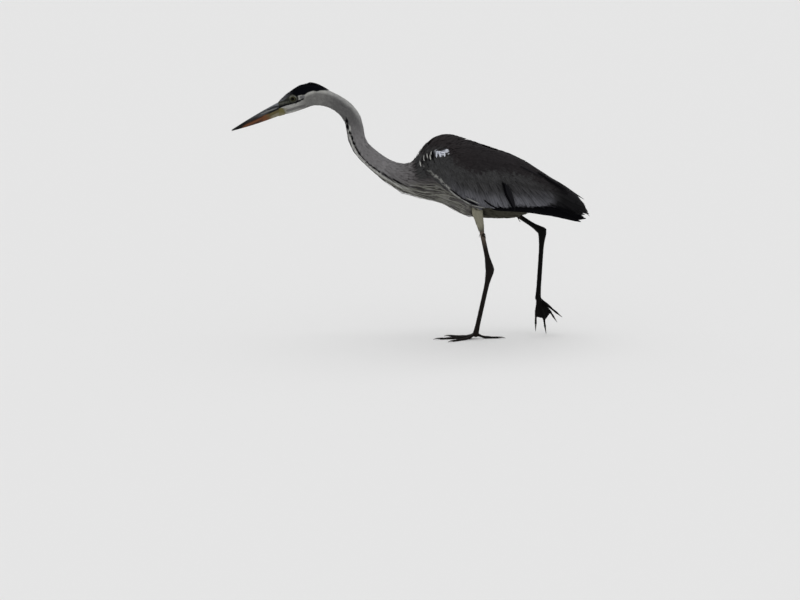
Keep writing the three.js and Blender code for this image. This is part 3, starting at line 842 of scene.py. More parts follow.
# Vanes show their own colour, fine slanting barbs and the line of the shaft.
def featherMaterial(name, roughness, shaftTone, mottle):
    look = featherLook
    material, shader, start = newMaterial(name, Specular_IOR_Level=look["gloss"])
    split = start.node("SeparateXYZ", Vector=out(start.node("UVMap", {"uv_map": "vane"}), "UV"))
    across, along = out(split, 0).maths("ABSOLUTE", out(split, 0)), out(split, 1)
    slanted = (along - across * look["barbSlant"]) * (2 * math.pi / look["barbPitch"])
    place = out(start.node("TexCoord"), "Object")
    wobble = noise(start, place, look["fineGrain"], 2.0)
    barbs = slanted.maths("SINE", slanted + wobble * 5.0)
    shaft = 1 - across.smooth(look["shaftHalf"] * 0.6, look["shaftHalf"])
    patches = noise(start, place, look["patchGrain"], 4.0, Roughness=0.6)
    tone = (patches - 0.5) * (2 * mottle) + barbs * 0.05 + shaft * (shaftTone - 1) + 1
    link(shaded(start, plumageTone(start), tone), shader, "Base Color")
    link(roughness + (wobble - 0.5) * 0.2, shader, "Roughness")
    bumped(start, shader, look["barbBump"], 0.0003, barbs * 0.5 + shaft)
    return material


skinLook = {"plateSize": 420.0, "bump": 0.5, "roughness": 0.55, "grain": 160.0, "legsBelow": (330.0, 300.0)}


# Bare skin: fine plates on the legs, pores on the face.
def skinMaterial():
    look = skinLook
    material, shader, start = newMaterial("skin_bare", Specular_IOR_Level=0.06)
    place = out(start.node("TexCoord"), "Object")
    edges = {"feature": "DISTANCE_TO_EDGE"}
    plates = start.node("TexVoronoi", edges, Vector=place, Scale=look["plateSize"])
    seams = out(plates, "Distance").smooth(0.0, 0.12)
    cloudy = noise(start, place, look["grain"], 5.0)
    height = out(start.node("SeparateXYZ", Vector=place), 2) * 1000
    onLeg = height.smooth(*look["legsBelow"])
    tone = (cloudy - 0.5) * 0.5 + seams * (onLeg * 0.2 + 0.05) + 0.9
    link(shaded(start, plumageTone(start), tone), shader, "Base Color")
    link(look["roughness"] + (cloudy - 0.5) * 0.35, shader, "Roughness")
    bumped(start, shader, look["bump"], 0.0004, seams * (onLeg * 0.5 + 0.2) + cloudy * 0.5)
    return material


feather = featherMaterial("feather_matt", 0.72, 0.8, 0.2)
glossFeather = featherMaterial("feather_sleek", 0.5, 1.5, 0.15)
thighFeather = featherMaterial("feather_thigh", 0.72, 0.95, 0.08)


# The skin carries the plumage's markings, and the colours of the bare legs.
def paintSkin():
    points = pointsOf(skin)
    y, z = points[:, 1] / mm, points[:, 2] / mm
    nearest = nearestPart(points, fleshNodes + legNodes)
    onLeg = evened(skin, np.isin(nearest, legNodes).astype(float), 4)
    onThigh = evened(skin, np.isin(nearest, thighNodes).astype(float), 4)
    colours = markings(points, np.full(len(points), 0.5), np.isin(nearest, wingNodes).astype(float))
    colours = layered(
        colours,
        ("thigh", 0.6 * onThigh * ease(z, 303, 296)),
        ("legTop", onLeg),
        ("leg", onLeg * ease(z, 246, 200)),
        # Painted shade: the far leg is made darker than the near one.
        ("shadedFarLeg", onLeg * (y > 215)))
    storeColours(skin.data, colours)
    skin.data.materials.clear()
    skin.data.materials.append(skinMaterial())
    activate(skin)
    bpy.ops.object.shade_smooth()


paintSkin()
print("skin painted")


# Where feathers root.

skin.data.calc_loop_triangles()
corners = np.empty(len(skin.data.loop_triangles) * 3, int)
skin.data.loop_triangles.foreach_get("vertices", corners)
corners = pointsOf(skin)[corners].reshape(-1, 3, 3)
centres = corners.mean(axis=1)
crossed = np.cross(corners[:, 1] - corners[:, 0], corners[:, 2] - corners[:, 0])
areas = np.linalg.norm(crossed, axis=1) / 2 / mm**2
outward = unit(crossed)
partOf = nearestPart(centres, fleshNodes + legNodes + ["bill_upper", "bill_lower"])
centreAlong, centreAround = onSpine(centres)
centreMm = centres / mm


# Roots spread evenly at random over the chosen triangles. spacing is in mm, one number or a
# function of the points.
def scatter(chosen, spacing, seed):
    rng = np.random.default_rng(seed)
    chosen = np.flatnonzero(chosen)
    least = spacing if np.isscalar(spacing) else spacing(centres[chosen]).min()
    weights = areas[chosen]
    count = int(weights.sum() / least**2 * 5)
    picked = chosen[rng.choice(len(chosen), count, p=weights / weights.sum())]
    u, v = rng.random((2, count, 1))
    beyond = u + v > 1
    u, v = np.where(beyond, 1 - u, u), np.where(beyond, 1 - v, v)
    points = corners[picked, 0] * (1 - u - v) + corners[picked, 1] * u + corners[picked, 2] * v
    apart = np.full(count, spacing) if np.isscalar(spacing) else spacing(points)
    tree = KDTree(count)
    for i, p in enumerate(points):
        tree.insert(Vector(p), i)
    tree.balance()
    alive = np.ones(count, bool)
    kept = []
    for i in range(count):
        if alive[i]:
            kept.append(i)
            for _, j, _ in tree.find_range(Vector(points[i]), apart[i] * mm):
                alive[j] = False
    return points[kept], rng


# Lie of the plumage on a wing, by places along the bird: heights of the wing's upper and lower edge, and how
# steeply feathers point down by them, in degrees.
wingFlow = {
    "top": [(23, 416), (49, 436), (100, 450.5), (155, 443.5), (240, 412), (320, 360), (409, 281)],
    "low": [(23, 406), (49, 369), (100, 322), (155, 302), (240, 296), (320, 290), (409, 265)],
    "upper": [(20, -42), (60, -20), (120, -20), (200, -26), (400, -32)],
    "lower": [(20, -60), (60, -70), (100, -74), (150, -69), (200, -58), (250, -44), (300, -35), (400, -31)],
}


def spineLie(points):
    return spineHeading(onSpine(points)[0])


# Over the wing the feathers hang steeply in front and turn back towards the tail.
def wingLie(points):
    y, z = points[:, 1] / mm, points[:, 2] / mm
    top, low, upper, lower = [over(wingFlow[key], y) for key in ("top", "low", "upper", "lower")]
    angle = np.radians(upper + (lower - upper) * ease((top - z) / (top - low), 0.12, 0.7))
    return np.stack([np.zeros_like(y), np.cos(angle), np.sin(angle)], axis=1)


def thighLie(points):
    down = np.zeros_like(points)
    for side, joint in legJoints.items():
        heading = unit(np.array(joint["hock"], float) - np.array(joint["knee"], float))
        down[points[:, 0] * sides[side] > 0] = heading
    return down


def swayed(lie, rng, count, amount):
    sway = rng.normal(0, amount, (count, 3))
    return lambda points: lie(points) + sway


# Feathers rooted at random over part of the skin. Lengths and half widths are numbers in mm, or
# functions of the roots.
def tract(chosen, lie, seed, spacing, length, halfWidth, outline, above=0.0, sway=0.1, edge=1.0, shaft=1.0,
          wing=0.0, free=0.0, roll=2.5, deep=1.0, stray=2.0, tone=None, most=20.0, off=()):
    roots, rng = scatter(chosen, spacing, seed)
    count = len(roots)
    size = rng.uniform(0.85, 1.15, count)
    lengths = (length if np.isscalar(length) else length(roots)) * size * mm
    halves = (halfWidth if np.isscalar(halfWidth) else halfWidth(roots)) * size
    places, normals = drape(skinSurface, roots, swayed(lie, rng, count, sway), lengths, outline)
    close = skinSurface.nearest(places[:, -1])[2] < stray * mm
    if off:
        close &= ~np.isin(nearestPart(places[:, -1], fleshNodes), off)
    places, normals, halves, count = places[close], normals[close], halves[close], int(close.sum())
    lift = np.minimum(depthAt(places[:, -2]) * deep, most) + above
    lift += rng.uniform(-0.1, 0.1, count) + free * rng.random(count) ** 4
    high = aboveFrame(places[:, -1] + normals[:, -1] * (lift * mm)[:, None]) - above - free - 1.0
    batch = vanes(places, normals, halves, outline, lift - np.maximum(high, 0), thick=0.2, camber=0.1,
                  roll=np.radians(rng.normal(roll, 2, count)))
    corners = batch["points"].shape[:3]
    chance = np.broadcast_to(rng.random((count, 1, 1)), corners).ravel()
    if tone:
        colours = plain(tone, len(chance))
    else:
        colours = markings(batch["points"].reshape(-1, 3), chance, np.full(len(chance), float(wing)))
    colours = colours.reshape(*corners, 3) * rng.uniform(0.9, 1.1, (count, 1, 1, 1))
    return tinted(batch, colours, edge=edge, shaft=shaft)


# Places spread evenly along a line of places, by their distance along it or by its stretches.
def spread(line, count, byStretch=False):
    line = np.array(line, float)
    along = np.concatenate([[0], np.cumsum(np.linalg.norm(np.diff(line, axis=0), axis=1))])
    if byStretch:
        along = np.arange(len(line))
    at = np.linspace(0, along[-1], count)
    return np.stack([np.interp(at, along, column) for column in line.T], axis=1)


# Points of a surface at (y, z) places seen from the side, or at (x, y) places seen from above.
def fromSide(surface, places, side):
    found = []
    for y, z in places * mm:
        hit = surface.tree.ray_cast(Vector((side * 0.15, y, z)), Vector((-side, 0, 0)))
        found.append(hit[0] or surface.tree.find_nearest(Vector((side * 0.03, y, z)))[0])
    return np.array(found)


def fromAbove(surface, places, side):
    found = []
    for x, y in places * mm:
        hit = surface.tree.ray_cast(Vector((side * x, y, 0.7)), Vector((0, 0, -1)))
        found.append(hit[0] or surface.tree.find_nearest(Vector((side * x, y, 0.4)))[0])
    return np.array(found)


# A row of long feathers, each from its root to its tip. Tips take their x from the root where none is given.
def featherRow(side, surface, roots, tips, seed, halfWidth, outline, above, tone=None, edge=1.25, shaft=0.8,
               bow=0.0, camber=0.12, roll=3.0, start=-2.0, spill=1.5, deep=1.0, stack=0.5, uneven=0.08,
               most=3.4, hug=False):
    rng = np.random.default_rng(seed)
    count = len(tips)
    flat = tips.shape[1] == 2
    ways = np.array([0, 1, 1]) if flat else np.ones(3)
    target = (tips + rng.normal(0, spill, tips.shape)) * mm
    if flat:
        target = np.concatenate([roots[:, :1], target], axis=1)
    lengths = np.linalg.norm((target - roots) * ways, axis=1) * 1.02

    def aim(points):
        heading = (target - points) * ways
        left = np.linalg.norm(heading, axis=1) / lengths
        turn = np.radians(bow) * (2 * left - 1)
        x, y, z = heading.T
        return np.stack([x, y * np.cos(turn) - z * np.sin(turn), y * np.sin(turn) + z * np.cos(turn)], axis=1)

    places, normals = drape(surface, roots, aim, lengths, outline)
    lift = np.clip(depthAt(places[:, 3]) * deep, 0, most) + above
    lift = lift + stack * np.linspace(0, 1, count) + rng.uniform(-0.1, 0.1, count)
    if hug:
        depths = depthAt(places.reshape(-1, 3)).reshape(places.shape[:2])
        lift = np.clip(depths, 0, most) + above
    halves = halfWidth * rng.uniform(1 - uneven, 1 + uneven, count)
    batch = vanes(places, normals, halves, outline, lift, start=start, thick=0.5, camber=camber, wide=True,
                  roll=np.radians(sides[side] * rng.normal(roll, 1.2, count)), curl=1.6)
    corners = batch["points"].shape[:3]
    if tone:
        colours = plain(tone, int(np.prod(corners)))
    else:
        chance = np.broadcast_to(rng.random((count, 1, 1)), corners).ravel()
        colours = markings(batch["points"].reshape(-1, 3), chance, np.ones(len(chance)), rimmed=0.0)
    colours = colours.reshape(*corners, 3) * rng.uniform(1 - 2 * uneven, 1 + 2 * uneven, (count, 1, 1, 1))
    return tinted(batch, colours, edge=edge, shaft=shaft)


# Which triangles of the skin belong to which part of the bird.
centreY, centreZ = centreMm[:, 1], centreMm[:, 2]
isWing = {side: partOf == f"wing_{side}" for side in sides}
wingTree = treeOf(wingNodes)[0]
isCovered = np.array([wingTree.ray_cast(Vector(c + n * 0.001), Vector(n), 0.06)[3] is not None
                      for c, n in zip(centres, outward)])
anyWing = isWing["left"] | isWing["right"]
isNeck = np.isin(partOf, neckNodes)
isTrunk = (partOf == "trunk") & ~isCovered
isHead = (partOf == "head") & (bareness(centres) <= 0.35) & (eyeAway(centres) > 9.6) & (centreY > -303)
isCrown = isHead & (centreZ > over(face["crownEdge"], centreY) - 2)
upperNeck = centreAlong < 215
lowFront = (isNeck | isTrunk) & (centreAlong > 300) & (centreAlong < 500) & (centreAround > 0.55)
belly = isTrunk & (centreAround > 0.42) & (centreY > -8)
undertail = (isTrunk | (partOf == "tail")) & (outward[:, 2] < -0.5) & (centreY > 245) & (centreY < 335)
wingInside = anyWing & (outward[:, 0] * np.sign(centres[:, 0]) < -0.2)
wingTop = anyWing & (centreZ > over(pattern["mantleEdge"], centreY) - 2) & (centreY < 335)
back = (isTrunk & (centreAround < 0.46) & (centreY > -8)) | wingTop
backPlumes = anyWing & (centreY > 60) & (centreY < 262) & (outward[:, 2] > -0.1) & (
    centreZ > over(pattern["mantleEdge"], centreY) - 6)

# Spacing, length and half width of the small feathers along the bird, in mm by distance from the bill.
small = {
    "spacing": [(0, 1.0), (40, 1.15), (70, 1.4), (110, 1.7), (200, 1.9), (330, 2.2), (400, 2.7)],
    "length": [(0, 3.4), (40, 4.8), (70, 7), (110, 10), (200, 13), (330, 17), (400, 22)],
    "halfWidth": [(0, 0.7), (40, 0.85), (70, 1.1), (110, 1.4), (200, 1.6), (330, 1.9), (400, 2.5)],
}


def sized(key):
    return lambda points: over(small[key], onSpine(points)[0])


def smallFeathers(chosen, seed):
    return tract(chosen, spineLie, seed, sized("spacing"), sized("length"), sized("halfWidth"), "pointed")


makeCoat("crown_feathers", [smallFeathers(isCrown, 11)], feather)
makeCoat("cheek_feathers", [smallFeathers(isHead & ~isCrown, 12)], feather)
makeCoat("nape_feathers", [smallFeathers(isNeck & upperNeck, 13)], feather)
makeCoat("neck_feathers", [smallFeathers(isNeck & ~upperNeck, 14)], feather)

# The larger feathers of the body. The long narrow plumes hang from the lower foreneck over the breast.
plumage = {
    "breastPlumes": {"spacing": 5.0, "length": 74, "halfWidth": 1.9, "outline": "plume", "above": 0.9,
                     "sway": 0.04, "free": 3.0, "roll": 0, "stray": 4.0},
    "frontBelly": {"spacing": 3.2, "length": 34, "halfWidth": 1.9, "outline": "plume", "free": 1.0,
                   "sway": 0.05},
    "belly": {"spacing": 3.8, "length": 30, "halfWidth": 3.4, "outline": "round", "free": 2.0},
    "undertail": {"spacing": 6.5, "length": 40, "halfWidth": 5.5, "outline": "plume", "above": 0.4,
                  "free": 3.0},
    "wingLining": {"spacing": 7.5, "length": 26, "halfWidth": 6.0, "outline": "broad", "deep": 0.6},
    "back": {"spacing": 4.4, "length": 28, "halfWidth": 4.8, "outline": "broad", "above": 0.2, "edge": 1.12,
             "shaft": 0.85, "most": 9.0},
    "backPlumes": {"spacing": 8.0, "length": 62, "halfWidth": 4.2, "outline": "plume", "above": 0.4,
                   "edge": 1.1, "shaft": 0.8, "sway": 0.04, "most": 3.4},
}
makeCoat("breast_plumes", [tract(lowFront, spineLie, 15, off=wingNodes, **plumage["breastPlumes"])],
         feather)
limbs = wingNodes + thighNodes
makeCoat("belly_feathers", [
    tract(belly & (centreY < 95), spineLie, 21, off=limbs, **plumage["frontBelly"]),
    tract(belly & (centreY >= 95), spineLie, 16, off=limbs, **plumage["belly"])], feather)
makeCoat("undertail_feathers", [tract(undertail, spineLie, 17, off=wingNodes, **plumage["undertail"])],
         feather)
makeCoat("wing_linings", [tract(wingInside, spineLie, 18, wing=1.0, **plumage["wingLining"])], feather)
makeCoat("mantle_feathers", [
    tract(back, spineLie, 19, wing=1.0, **plumage["back"]),
    tract(backPlumes, spineLie, 20, wing=1.0, **plumage["backPlumes"])], feather)

# Wing rows: the roots and the tips are spread along lines of (y, z) places seen from the side.
rows = {
    "secondaries": {"roots": [(165, 325), (200, 360), (240, 385)],
                    "tips": [(250, 303), (303, 301), (340, 298), (356, 292), (368, 285), (380, 278), (392, 271),
                             (404, 274), (411, 286), (405, 299)],
                    "count": 18, "look": {"halfWidth": 9.0, "above": 0.0, "outline": "flight"}},
    "greater": {"roots": [(80, 384), (110, 369), (165, 360), (215, 352), (262, 343)],
                "tips": [(94, 345), (112, 334.5), (130, 326), (146, 318.5), (165, 311), (184, 303.5), (204, 304),
                         (216, 301), (227, 306), (240, 307), (256, 303), (280, 301.5), (314, 303)],
                "count": 30, "look": {"halfWidth": 5.4, "above": 1.1, "outline": "broad"}},
    "median": {"roots": [(56, 394), (100, 394), (165, 388), (230, 374), (275, 358)],
               "tips": [(78, 360), (108, 350), (140, 340), (170, 333), (200, 330), (240, 328), (280, 324),
                        (326, 316)],
               "count": 32, "look": {"halfWidth": 4.8, "above": 1.8, "outline": "pointed"}},
    "upperMedian": {"roots": [(45, 415), (90, 417), (150, 412), (215, 395), (260, 375)],
                    "tips": [(66, 382), (105, 374), (140, 368), (175, 362), (215, 356), (260, 348), (306, 336)],
                    "count": 32, "look": {"halfWidth": 4.4, "above": 2.4, "outline": "pointed"}},
}
# Single long dark feathers that stand out on the side, from root to tip as (y, z) places seen from the side. All
# but the third stand for painted shade.
accents = [
    # A thin black feather as the painted shadow in a gap between coverts.
    {"from": (153, 325), "to": (199, 298.5),
     "look": {"halfWidth": 1.8, "tone": "black", "above": 3.6, "bow": -14, "outline": "plume"}},
    # A black blade under the next, showing along its front edge as its painted shadow.
    {"from": (193, 363), "to": (226, 298.5),
     "look": {"halfWidth": 7.0, "tone": "black", "above": 5.0, "bow": 4, "outline": "blade"}},
    {"from": (199, 360), "to": (229, 300.5),
     "look": {"halfWidth": 5.6, "tone": "tail", "above": 5.8, "bow": 4, "outline": "blade"}},
    # This and the next are dark strips for the painted shadow under the back's edge, over the tertials.
    {"from": (240, 391), "to": (302, 363),
     "look": {"halfWidth": 1.8, "tone": "tail", "above": 2.4, "bow": 2, "outline": "plume"}},
    {"from": (282, 374), "to": (350, 333),
     "look": {"halfWidth": 4.6, "tone": "black", "above": 3.0, "bow": 6, "outline": "plume"}},
]
# Single short feathers along the wing's front and its front lower edge, from root to tip as (x, y, z).
strokes = [
    {"tone": "black", "halfWidth": 1.5, "above": 2.2,
     "from": [(29.2, 28.5, 424.3), (41.4, 33.8, 425.1), (39.7, 43.4, 433.4), (24.5, 21.3, 417),
              (49.8, 39.3, 425.8)],
     "to": [(42.8, 26.6, 412.8), (49.1, 33.1, 413.7), (53.3, 40.5, 423.1), (35.3, 20.3, 405),
            (55.4, 40, 416.7)]},
    {"tone": "streak", "halfWidth": 1.25, "above": 2.5,
     "from": [(26.6, 25.5, 421.8), (32.1, 31.6, 426.1), (44.6, 35.4, 425.6), (39.5, 40.1, 431.5),
              (25.9, 16.4, 408.7)],
     "to": [(40.2, 23.9, 412.5), (44.4, 30.4, 418.9), (50.7, 35.4, 416.5), (47.2, 37.6, 425.9),
            (35.1, 16.7, 399.5)]},
    {"tone": "shoulder", "halfWidth": 1.6, "above": 2.5,
     "from": [(50.2, 48.6, 431.5), (52.6, 54.4, 431.7), (56.6, 65.1, 432)],
     "to": [(56.8, 47.5, 422.1), (59, 55.4, 423.1), (61.6, 64.4, 423.6)]},
    {"tone": "edge", "halfWidth": 1.9, "above": 2.4,
     "from": [(64, 71, 350), (64, 90, 335.5), (59, 112, 318.5)],
     "to": [(64, 103, 326.5), (63, 122, 315.5), (59, 156, 305)]},
    # These two black strokes above the pale lower edge stand for the painted shadow under the coverts.
    {"tone": "black", "halfWidth": 1.2, "above": 2.8, "from": [(64, 75.5, 352)], "to": [(64, 106, 329)]},
    {"tone": "black", "halfWidth": 2.4, "above": 3.0, "from": [(64, 100, 331)], "to": [(64, 140, 312.5)]},
    {"tone": "edge", "halfWidth": 1.3, "above": 3.2, "from": [(66, 112, 331)], "to": [(66, 141.7, 315.5)]},
]
# Tertials lie over the wing's rear top: roots spread along (x, y) places seen from above, tips along (x, y, z).
tertials = {
    "roots": [(3, 238), (14, 240), (27, 234), (40, 224)], "count": 13,
    "tips": [(2, 369, 342.5), (5, 389, 331.5), (9, 405, 320), (13, 414.5, 305.5), (15, 418, 290)],
    "look": {"halfWidth": 8.0, "outline": "broad", "above": 0.0, "stack": 1.2, "roll": 0, "camber": 0.1,
             "edge": 1.7, "spill": 1.0},
}
# Small feathers of the wing, each tract over the skin above or below a line of (y, z) places.
coverts = {
    "lesserFrom": [(20, 395), (60, 385), (140, 376), (215, 366), (300, 345)],
    "frontBelow": [(20, 395), (60, 385), (80, 380)],
    "lowBelow": [(74, 358), (94, 350), (112, 340), (146, 324), (165, 316)],
    "lesser": {"spacing": 3.7, "length": 18, "halfWidth": 3.9, "outline": "broad", "above": 1.6, "edge": 1.18,
               "shaft": 0.85},
    "patch": {"spacing": 2.9, "length": 12, "halfWidth": 2.0, "outline": "broad", "above": 1.9},
    "lowEdge": {"spacing": 3.6, "length": 14, "halfWidth": 3.6, "outline": "broad", "above": 1.0, "edge": 1.14,
                "shaft": 0.85, "stray": 3.0},
}
# Primaries in two layers under the folded wing: roots and tips along lines of (y, z) places.
primaries = {
    "roots": [(178, 298), (218, 303)], "count": 8,
    "layers": [
        {"tips": [(318, 278.5), (370, 265), (391, 257.5)], "halfWidth": 7.0, "above": -0.9, "start": -3, "bow": 6},
        {"tips": [(336, 294), (366, 283), (390, 272), (402, 266)], "halfWidth": 8.0, "above": -2.6, "start": -4,
         "bow": 3},
    ],
}
single = {"edge": 1.0, "spill": 0.2, "most": 9.0, "hug": True}
sleek = {"outline": "flight", "tone": "black", "edge": 1.1, "shaft": 1.2, "deep": 0, "spill": 0.5, "stack": -0.8}


def makeWing(side, way):
    wing, y, z = isWing[side], centreY, centreZ
    facing = outward[:, 0] * way > -0.15
    mirror = np.array([way, 1, 1])
    row = {}
    for k, (name, rowOf) in enumerate(rows.items()):
        roots = fromSide(skinSurface, spread(rowOf["roots"], rowOf["count"]), way)
        tips = spread(rowOf["tips"], rowOf["count"])
        row[name] = featherRow(side, skinSurface, roots, tips, 30 + k, bow=5, spill=2.2, uneven=0.12, edge=1.14,
                               **rowOf["look"])
    roots = fromAbove(skinSurface, spread(tertials["roots"], tertials["count"])[::-1], way)
    tips = spread(tertials["tips"], tertials["count"], byStretch=True)[::-1] * mirror
    row["tertials"] = featherRow(side, skinSurface, roots, tips, 38, **tertials["look"])
    makeCoat(f"secondaries_{side}", [row["secondaries"], row["tertials"]], glossFeather)

    byPatch = (y < 80) & (nearLine(centres, pattern["shoulder"]) < 10)
    lesser = (y < 300) & (z < over(pattern["mantleEdge"], y) + 6) & (z > over(coverts["lesserFrom"], y))
    front = (y < 80) & (z < over(coverts["frontBelow"], y))
    lowEdge = (outward[:, 0] * way > -0.5) & (y > 74) & (y < 165) & (z < over(coverts["lowBelow"], y))
    small = [
        tract(wing & facing & (lesser | front) & ~byPatch, wingLie, 41, wing=1.0, **coverts["lesser"]),
        tract(wing & facing & byPatch, wingLie, 42, wing=1.0, **coverts["patch"]),
        tract(wing & lowEdge, wingLie, 43, wing=1.0, **coverts["lowEdge"])]
    for k, accent in enumerate(accents):
        root = fromSide(skinSurface, np.array([accent["from"]], float), way)
        tip = np.array([accent["to"]], float)
        small.append(featherRow(side, skinSurface, root, tip, 90 + k, uneven=0.0, **accent["look"], **single))
    for k, stroke in enumerate(strokes):
        roots, tips = [np.array(stroke[end], float) * mirror for end in ("from", "to")]
        small.append(featherRow(side, skinSurface, roots * mm, tips, 120 + k, stroke["halfWidth"], "round",
                                stroke["above"], tone=stroke["tone"], uneven=0.06, **single))
    makeCoat(f"covert_feathers_{side}", [row["greater"], row["median"], row["upperMedian"], *small],
             feather)

    flightSurface = Surface(nodes[f"flight_feathers_{side}"])
    roots = fromSide(flightSurface, spread(primaries["roots"], primaries["count"]), way)
    layers = []
    for k, layer in enumerate(primaries["layers"]):
        look = {key: value for key, value in layer.items() if key != "tips"}
        tips = spread(layer["tips"], primaries["count"])
        layers.append(featherRow(side, flightSurface, roots, tips, 50 + k, **look, **sleek))
    makeCoat(f"primaries_{side}", layers, glossFeather, replaces=[f"flight_feathers_{side}"])


for side, way in sides.items():
    makeWing(side, way)


# The tail: twelve flat feathers, the middle pair on top, and the same from below.
tail = {"count": 12, "rootY": 315, "rootZ": 311, "tip": (408, 281), "drop": 19, "rootHalf": 13, "tipHalf": 23,
        "halfWidth": 8.0}
tailCopy = copyOf("tail")
tailSurface = Surface(tailCopy)
bpy.data.objects.remove(tailCopy)


def tailRow(up, seed):
    rng = np.random.default_rng(seed)
    across, same = np.linspace(-1, 1, tail["count"]), np.ones(tail["count"])
    roots = np.stack([across * tail["rootHalf"], same * tail["rootY"], same * (tail["rootZ"] + up * 12)], axis=1)
    roots = tailSurface.nearest(roots * mm)[0]
    target = np.stack([across * tail["tipHalf"], tail["tip"][0] - 6 * across**2,
                       tail["tip"][1] - tail["drop"] * across**2], axis=1) * mm
    places, normals = drape(tailSurface, roots, lambda points: target - points,
                            np.linalg.norm(target - roots, axis=1), "flight")
    batch = vanes(places, normals, same * tail["halfWidth"], "flight", 0.6 - 0.9 * np.abs(across), start=-1.5,
                  thick=0.5, camber=0.05, wide=True, roll=np.radians(4 * across * up))
    colours = plain("tail", tail["count"]) * rng.uniform(0.9, 1.1, (tail["count"], 1))
    return tinted(batch, colours, edge=1.2, shaft=0.7)


makeCoat("tail_feathers", [tailRow(1, 60), tailRow(-1, 61)], glossFeather)

# Feathered thighs, which turn dark above the bare part of the leg.
thighs = {
    "darkFrom": 0.5, "darkTo": 0.6, "top": 304,
    "look": {"spacing": 2.2, "length": 16, "halfWidth": 2.1, "outline": "pointed", "free": 1.0, "tone": "thigh",
             "roll": 1.0},
}


def makeThigh(side, way):
    knee, hock = [np.array(legJoints[side][joint], float) for joint in ("knee", "hock")]
    reach = np.linalg.norm(hock - knee)
    axis = (hock - knee) / reach

    def unwrap(roots):
        down = (roots / mm - knee) @ axis
        flat = roots / mm - knee - down[:, None] * axis
        return np.stack([np.arctan2(flat[:, 0], flat[:, 1]) * 14, down], axis=1)

    chosen = (partOf == f"thigh_{side}") & (centreZ < thighs["top"])
    batch = tract(chosen, thighLie, 70 + way, **thighs["look"])
    share = (batch["points"].reshape(-1, 3) / mm - knee) @ axis / reach
    dark = ease(share, thighs["darkFrom"], thighs["darkTo"])
    colours = layered(batch["colours"].reshape(-1, 3), ("thighLow", dark))
    batch["colours"] = colours.reshape(batch["points"].shape)
    makeCoat(f"thigh_feathers_{side}", [batch], thighFeather, unwrap=unwrap)


for side, way in sides.items():
    makeThigh(side, way)

# The crest: black plumes from the back of the crown, ending in a ragged point.
crest = {"count": 46, "along": (-247, -206), "half": 6, "tip": (0, -190, 570.5), "length": (20, 44),
         "halfWidth": 1.5}


def makeCrest():
    rng = np.random.default_rng(80)
    surface, count = Surface(nodes["crest"]), crest["count"]
    y = rng.uniform(*crest["along"], count)
    above = np.stack([rng.uniform(-crest["half"], crest["half"], count), y, np.full(count, 600.0)], axis=1) * mm
    roots = np.array([(surface.tree.ray_cast(Vector(p), Vector((0, 0, -1)))[0]
                       or surface.tree.find_nearest(Vector(p))[0]) for p in above])
    tip = np.array(crest["tip"]) * mm
    lengths = np.minimum(rng.uniform(*crest["length"], count) * mm, np.linalg.norm(roots - tip, axis=1) * 1.02)
    places, normals = drape(surface, roots, lambda points: tip - points, lengths, "plume")
    batch = vanes(places, normals, np.full(count, crest["halfWidth"]), "plume", rng.uniform(-1.6, 0.5, count),
                  start=-2.0, thick=0.4)
    makeCoat("crest_plumes", [tinted(batch, plain("crown", count))], feather, replaces=["crest"])


makeCrest()


# The bill: its two halves finely meshed, with the nostril's groove.
bill = {
    "voxel": 0.6, "rounds": 3, "nostril": [(-312, 541.6), (-323, 537.4)],
    "groove": [(-323, 537.4), (-362, 519)], "grooveDepth": 0.5, "nostrilDepth": 1.3,
    "mouth": [(-410, 488.6), (-300, 538.3)],
    "streak": [(-309, 536.4), (-316, 534.3), (-324, 531.8), (-330, 530), (-339, 525.9), (-344, 524.5)],
    "dark": [(-302, 541.5), (-309, 540.5), (-316, 538.9), (-320, 537), (-324.5, 534.8), (-329, 533.3)],
}


# The horn's colours: grey above, with a pale streak under a dark groove at the root; below orange that turns
# yellow at the root; black at the tip and along the mouth's root.
def hornTones(points, upper):
    y, z = points[:, 1] / mm, points[:, 2] / mm
    below = over(bill["mouth"], y) - z
    if upper:
        colours = layered(
            plain("hornGrey", len(points)),
            # Pale blue-grey over the top of the upper half at the root: a painted sheen.
            ("hornSheen", ease(y, -336, -324) * ease(below, -5, -8)),
            ("hornStreak", ease(nearLine(points, bill["streak"]), 1.4, 0.5)),
            ("hornDark", ease(y, -344, -358) * ease(below, -6, -3.5)),
            ("hornBlack", 0.9 * ease(nearLine(points, bill["dark"]), 1.6, 0.7)),
            ("hornDark", 0.8 * ease(y, -352, -380)),
            ("hornBlack", ease(y, -368, -384)))
    else:
        edges = np.maximum(ease(below, 3.2, 1.4), ease(below, 6.0, 8.2))
        colours = layered(
            plain("hornOrange", len(points)),
            ("hornBrown", 0.85 * edges * ease(y, -336, -346)),
            ("hornYellow", ease(y - 0.5 * below, -342, -322)),
            ("hornRim", 0.7 * ease(y, -326, -316) * ease(below, 8.0, 9.8)),
            ("hornBlack", ease((z - 505) * 0.65 - y, 374, 384)))
    return layered(colours, ("hornBlack", ease(y, -336, -322) * ease(np.abs(below), 2.6, 1.4)))


def billMaterial(name):
    material, shader, start = newMaterial(name, Specular_IOR_Level=0.14)
    place = out(start.node("TexCoord"), "Object")
    stretched = start.node("Mapping", Vector=place, Rotation=(math.radians(26), 0, 0),
                           Scale=(1200.0, 90.0, 1200.0))
    grain = noise(start, out(stretched), 1.0, 4.0)
    cloudy = noise(start, place, 130.0, 5.0)
    tone = (grain - 0.5) * 0.9 + (cloudy - 0.5) * 0.5 + 1
    link(shaded(start, plumageTone(start), tone), shader, "Base Color")
    link(0.34 + (cloudy - 0.5) * 0.3, shader, "Roughness")
    bumped(start, shader, 0.35, 0.0002, grain + cloudy * 0.5)
    return material


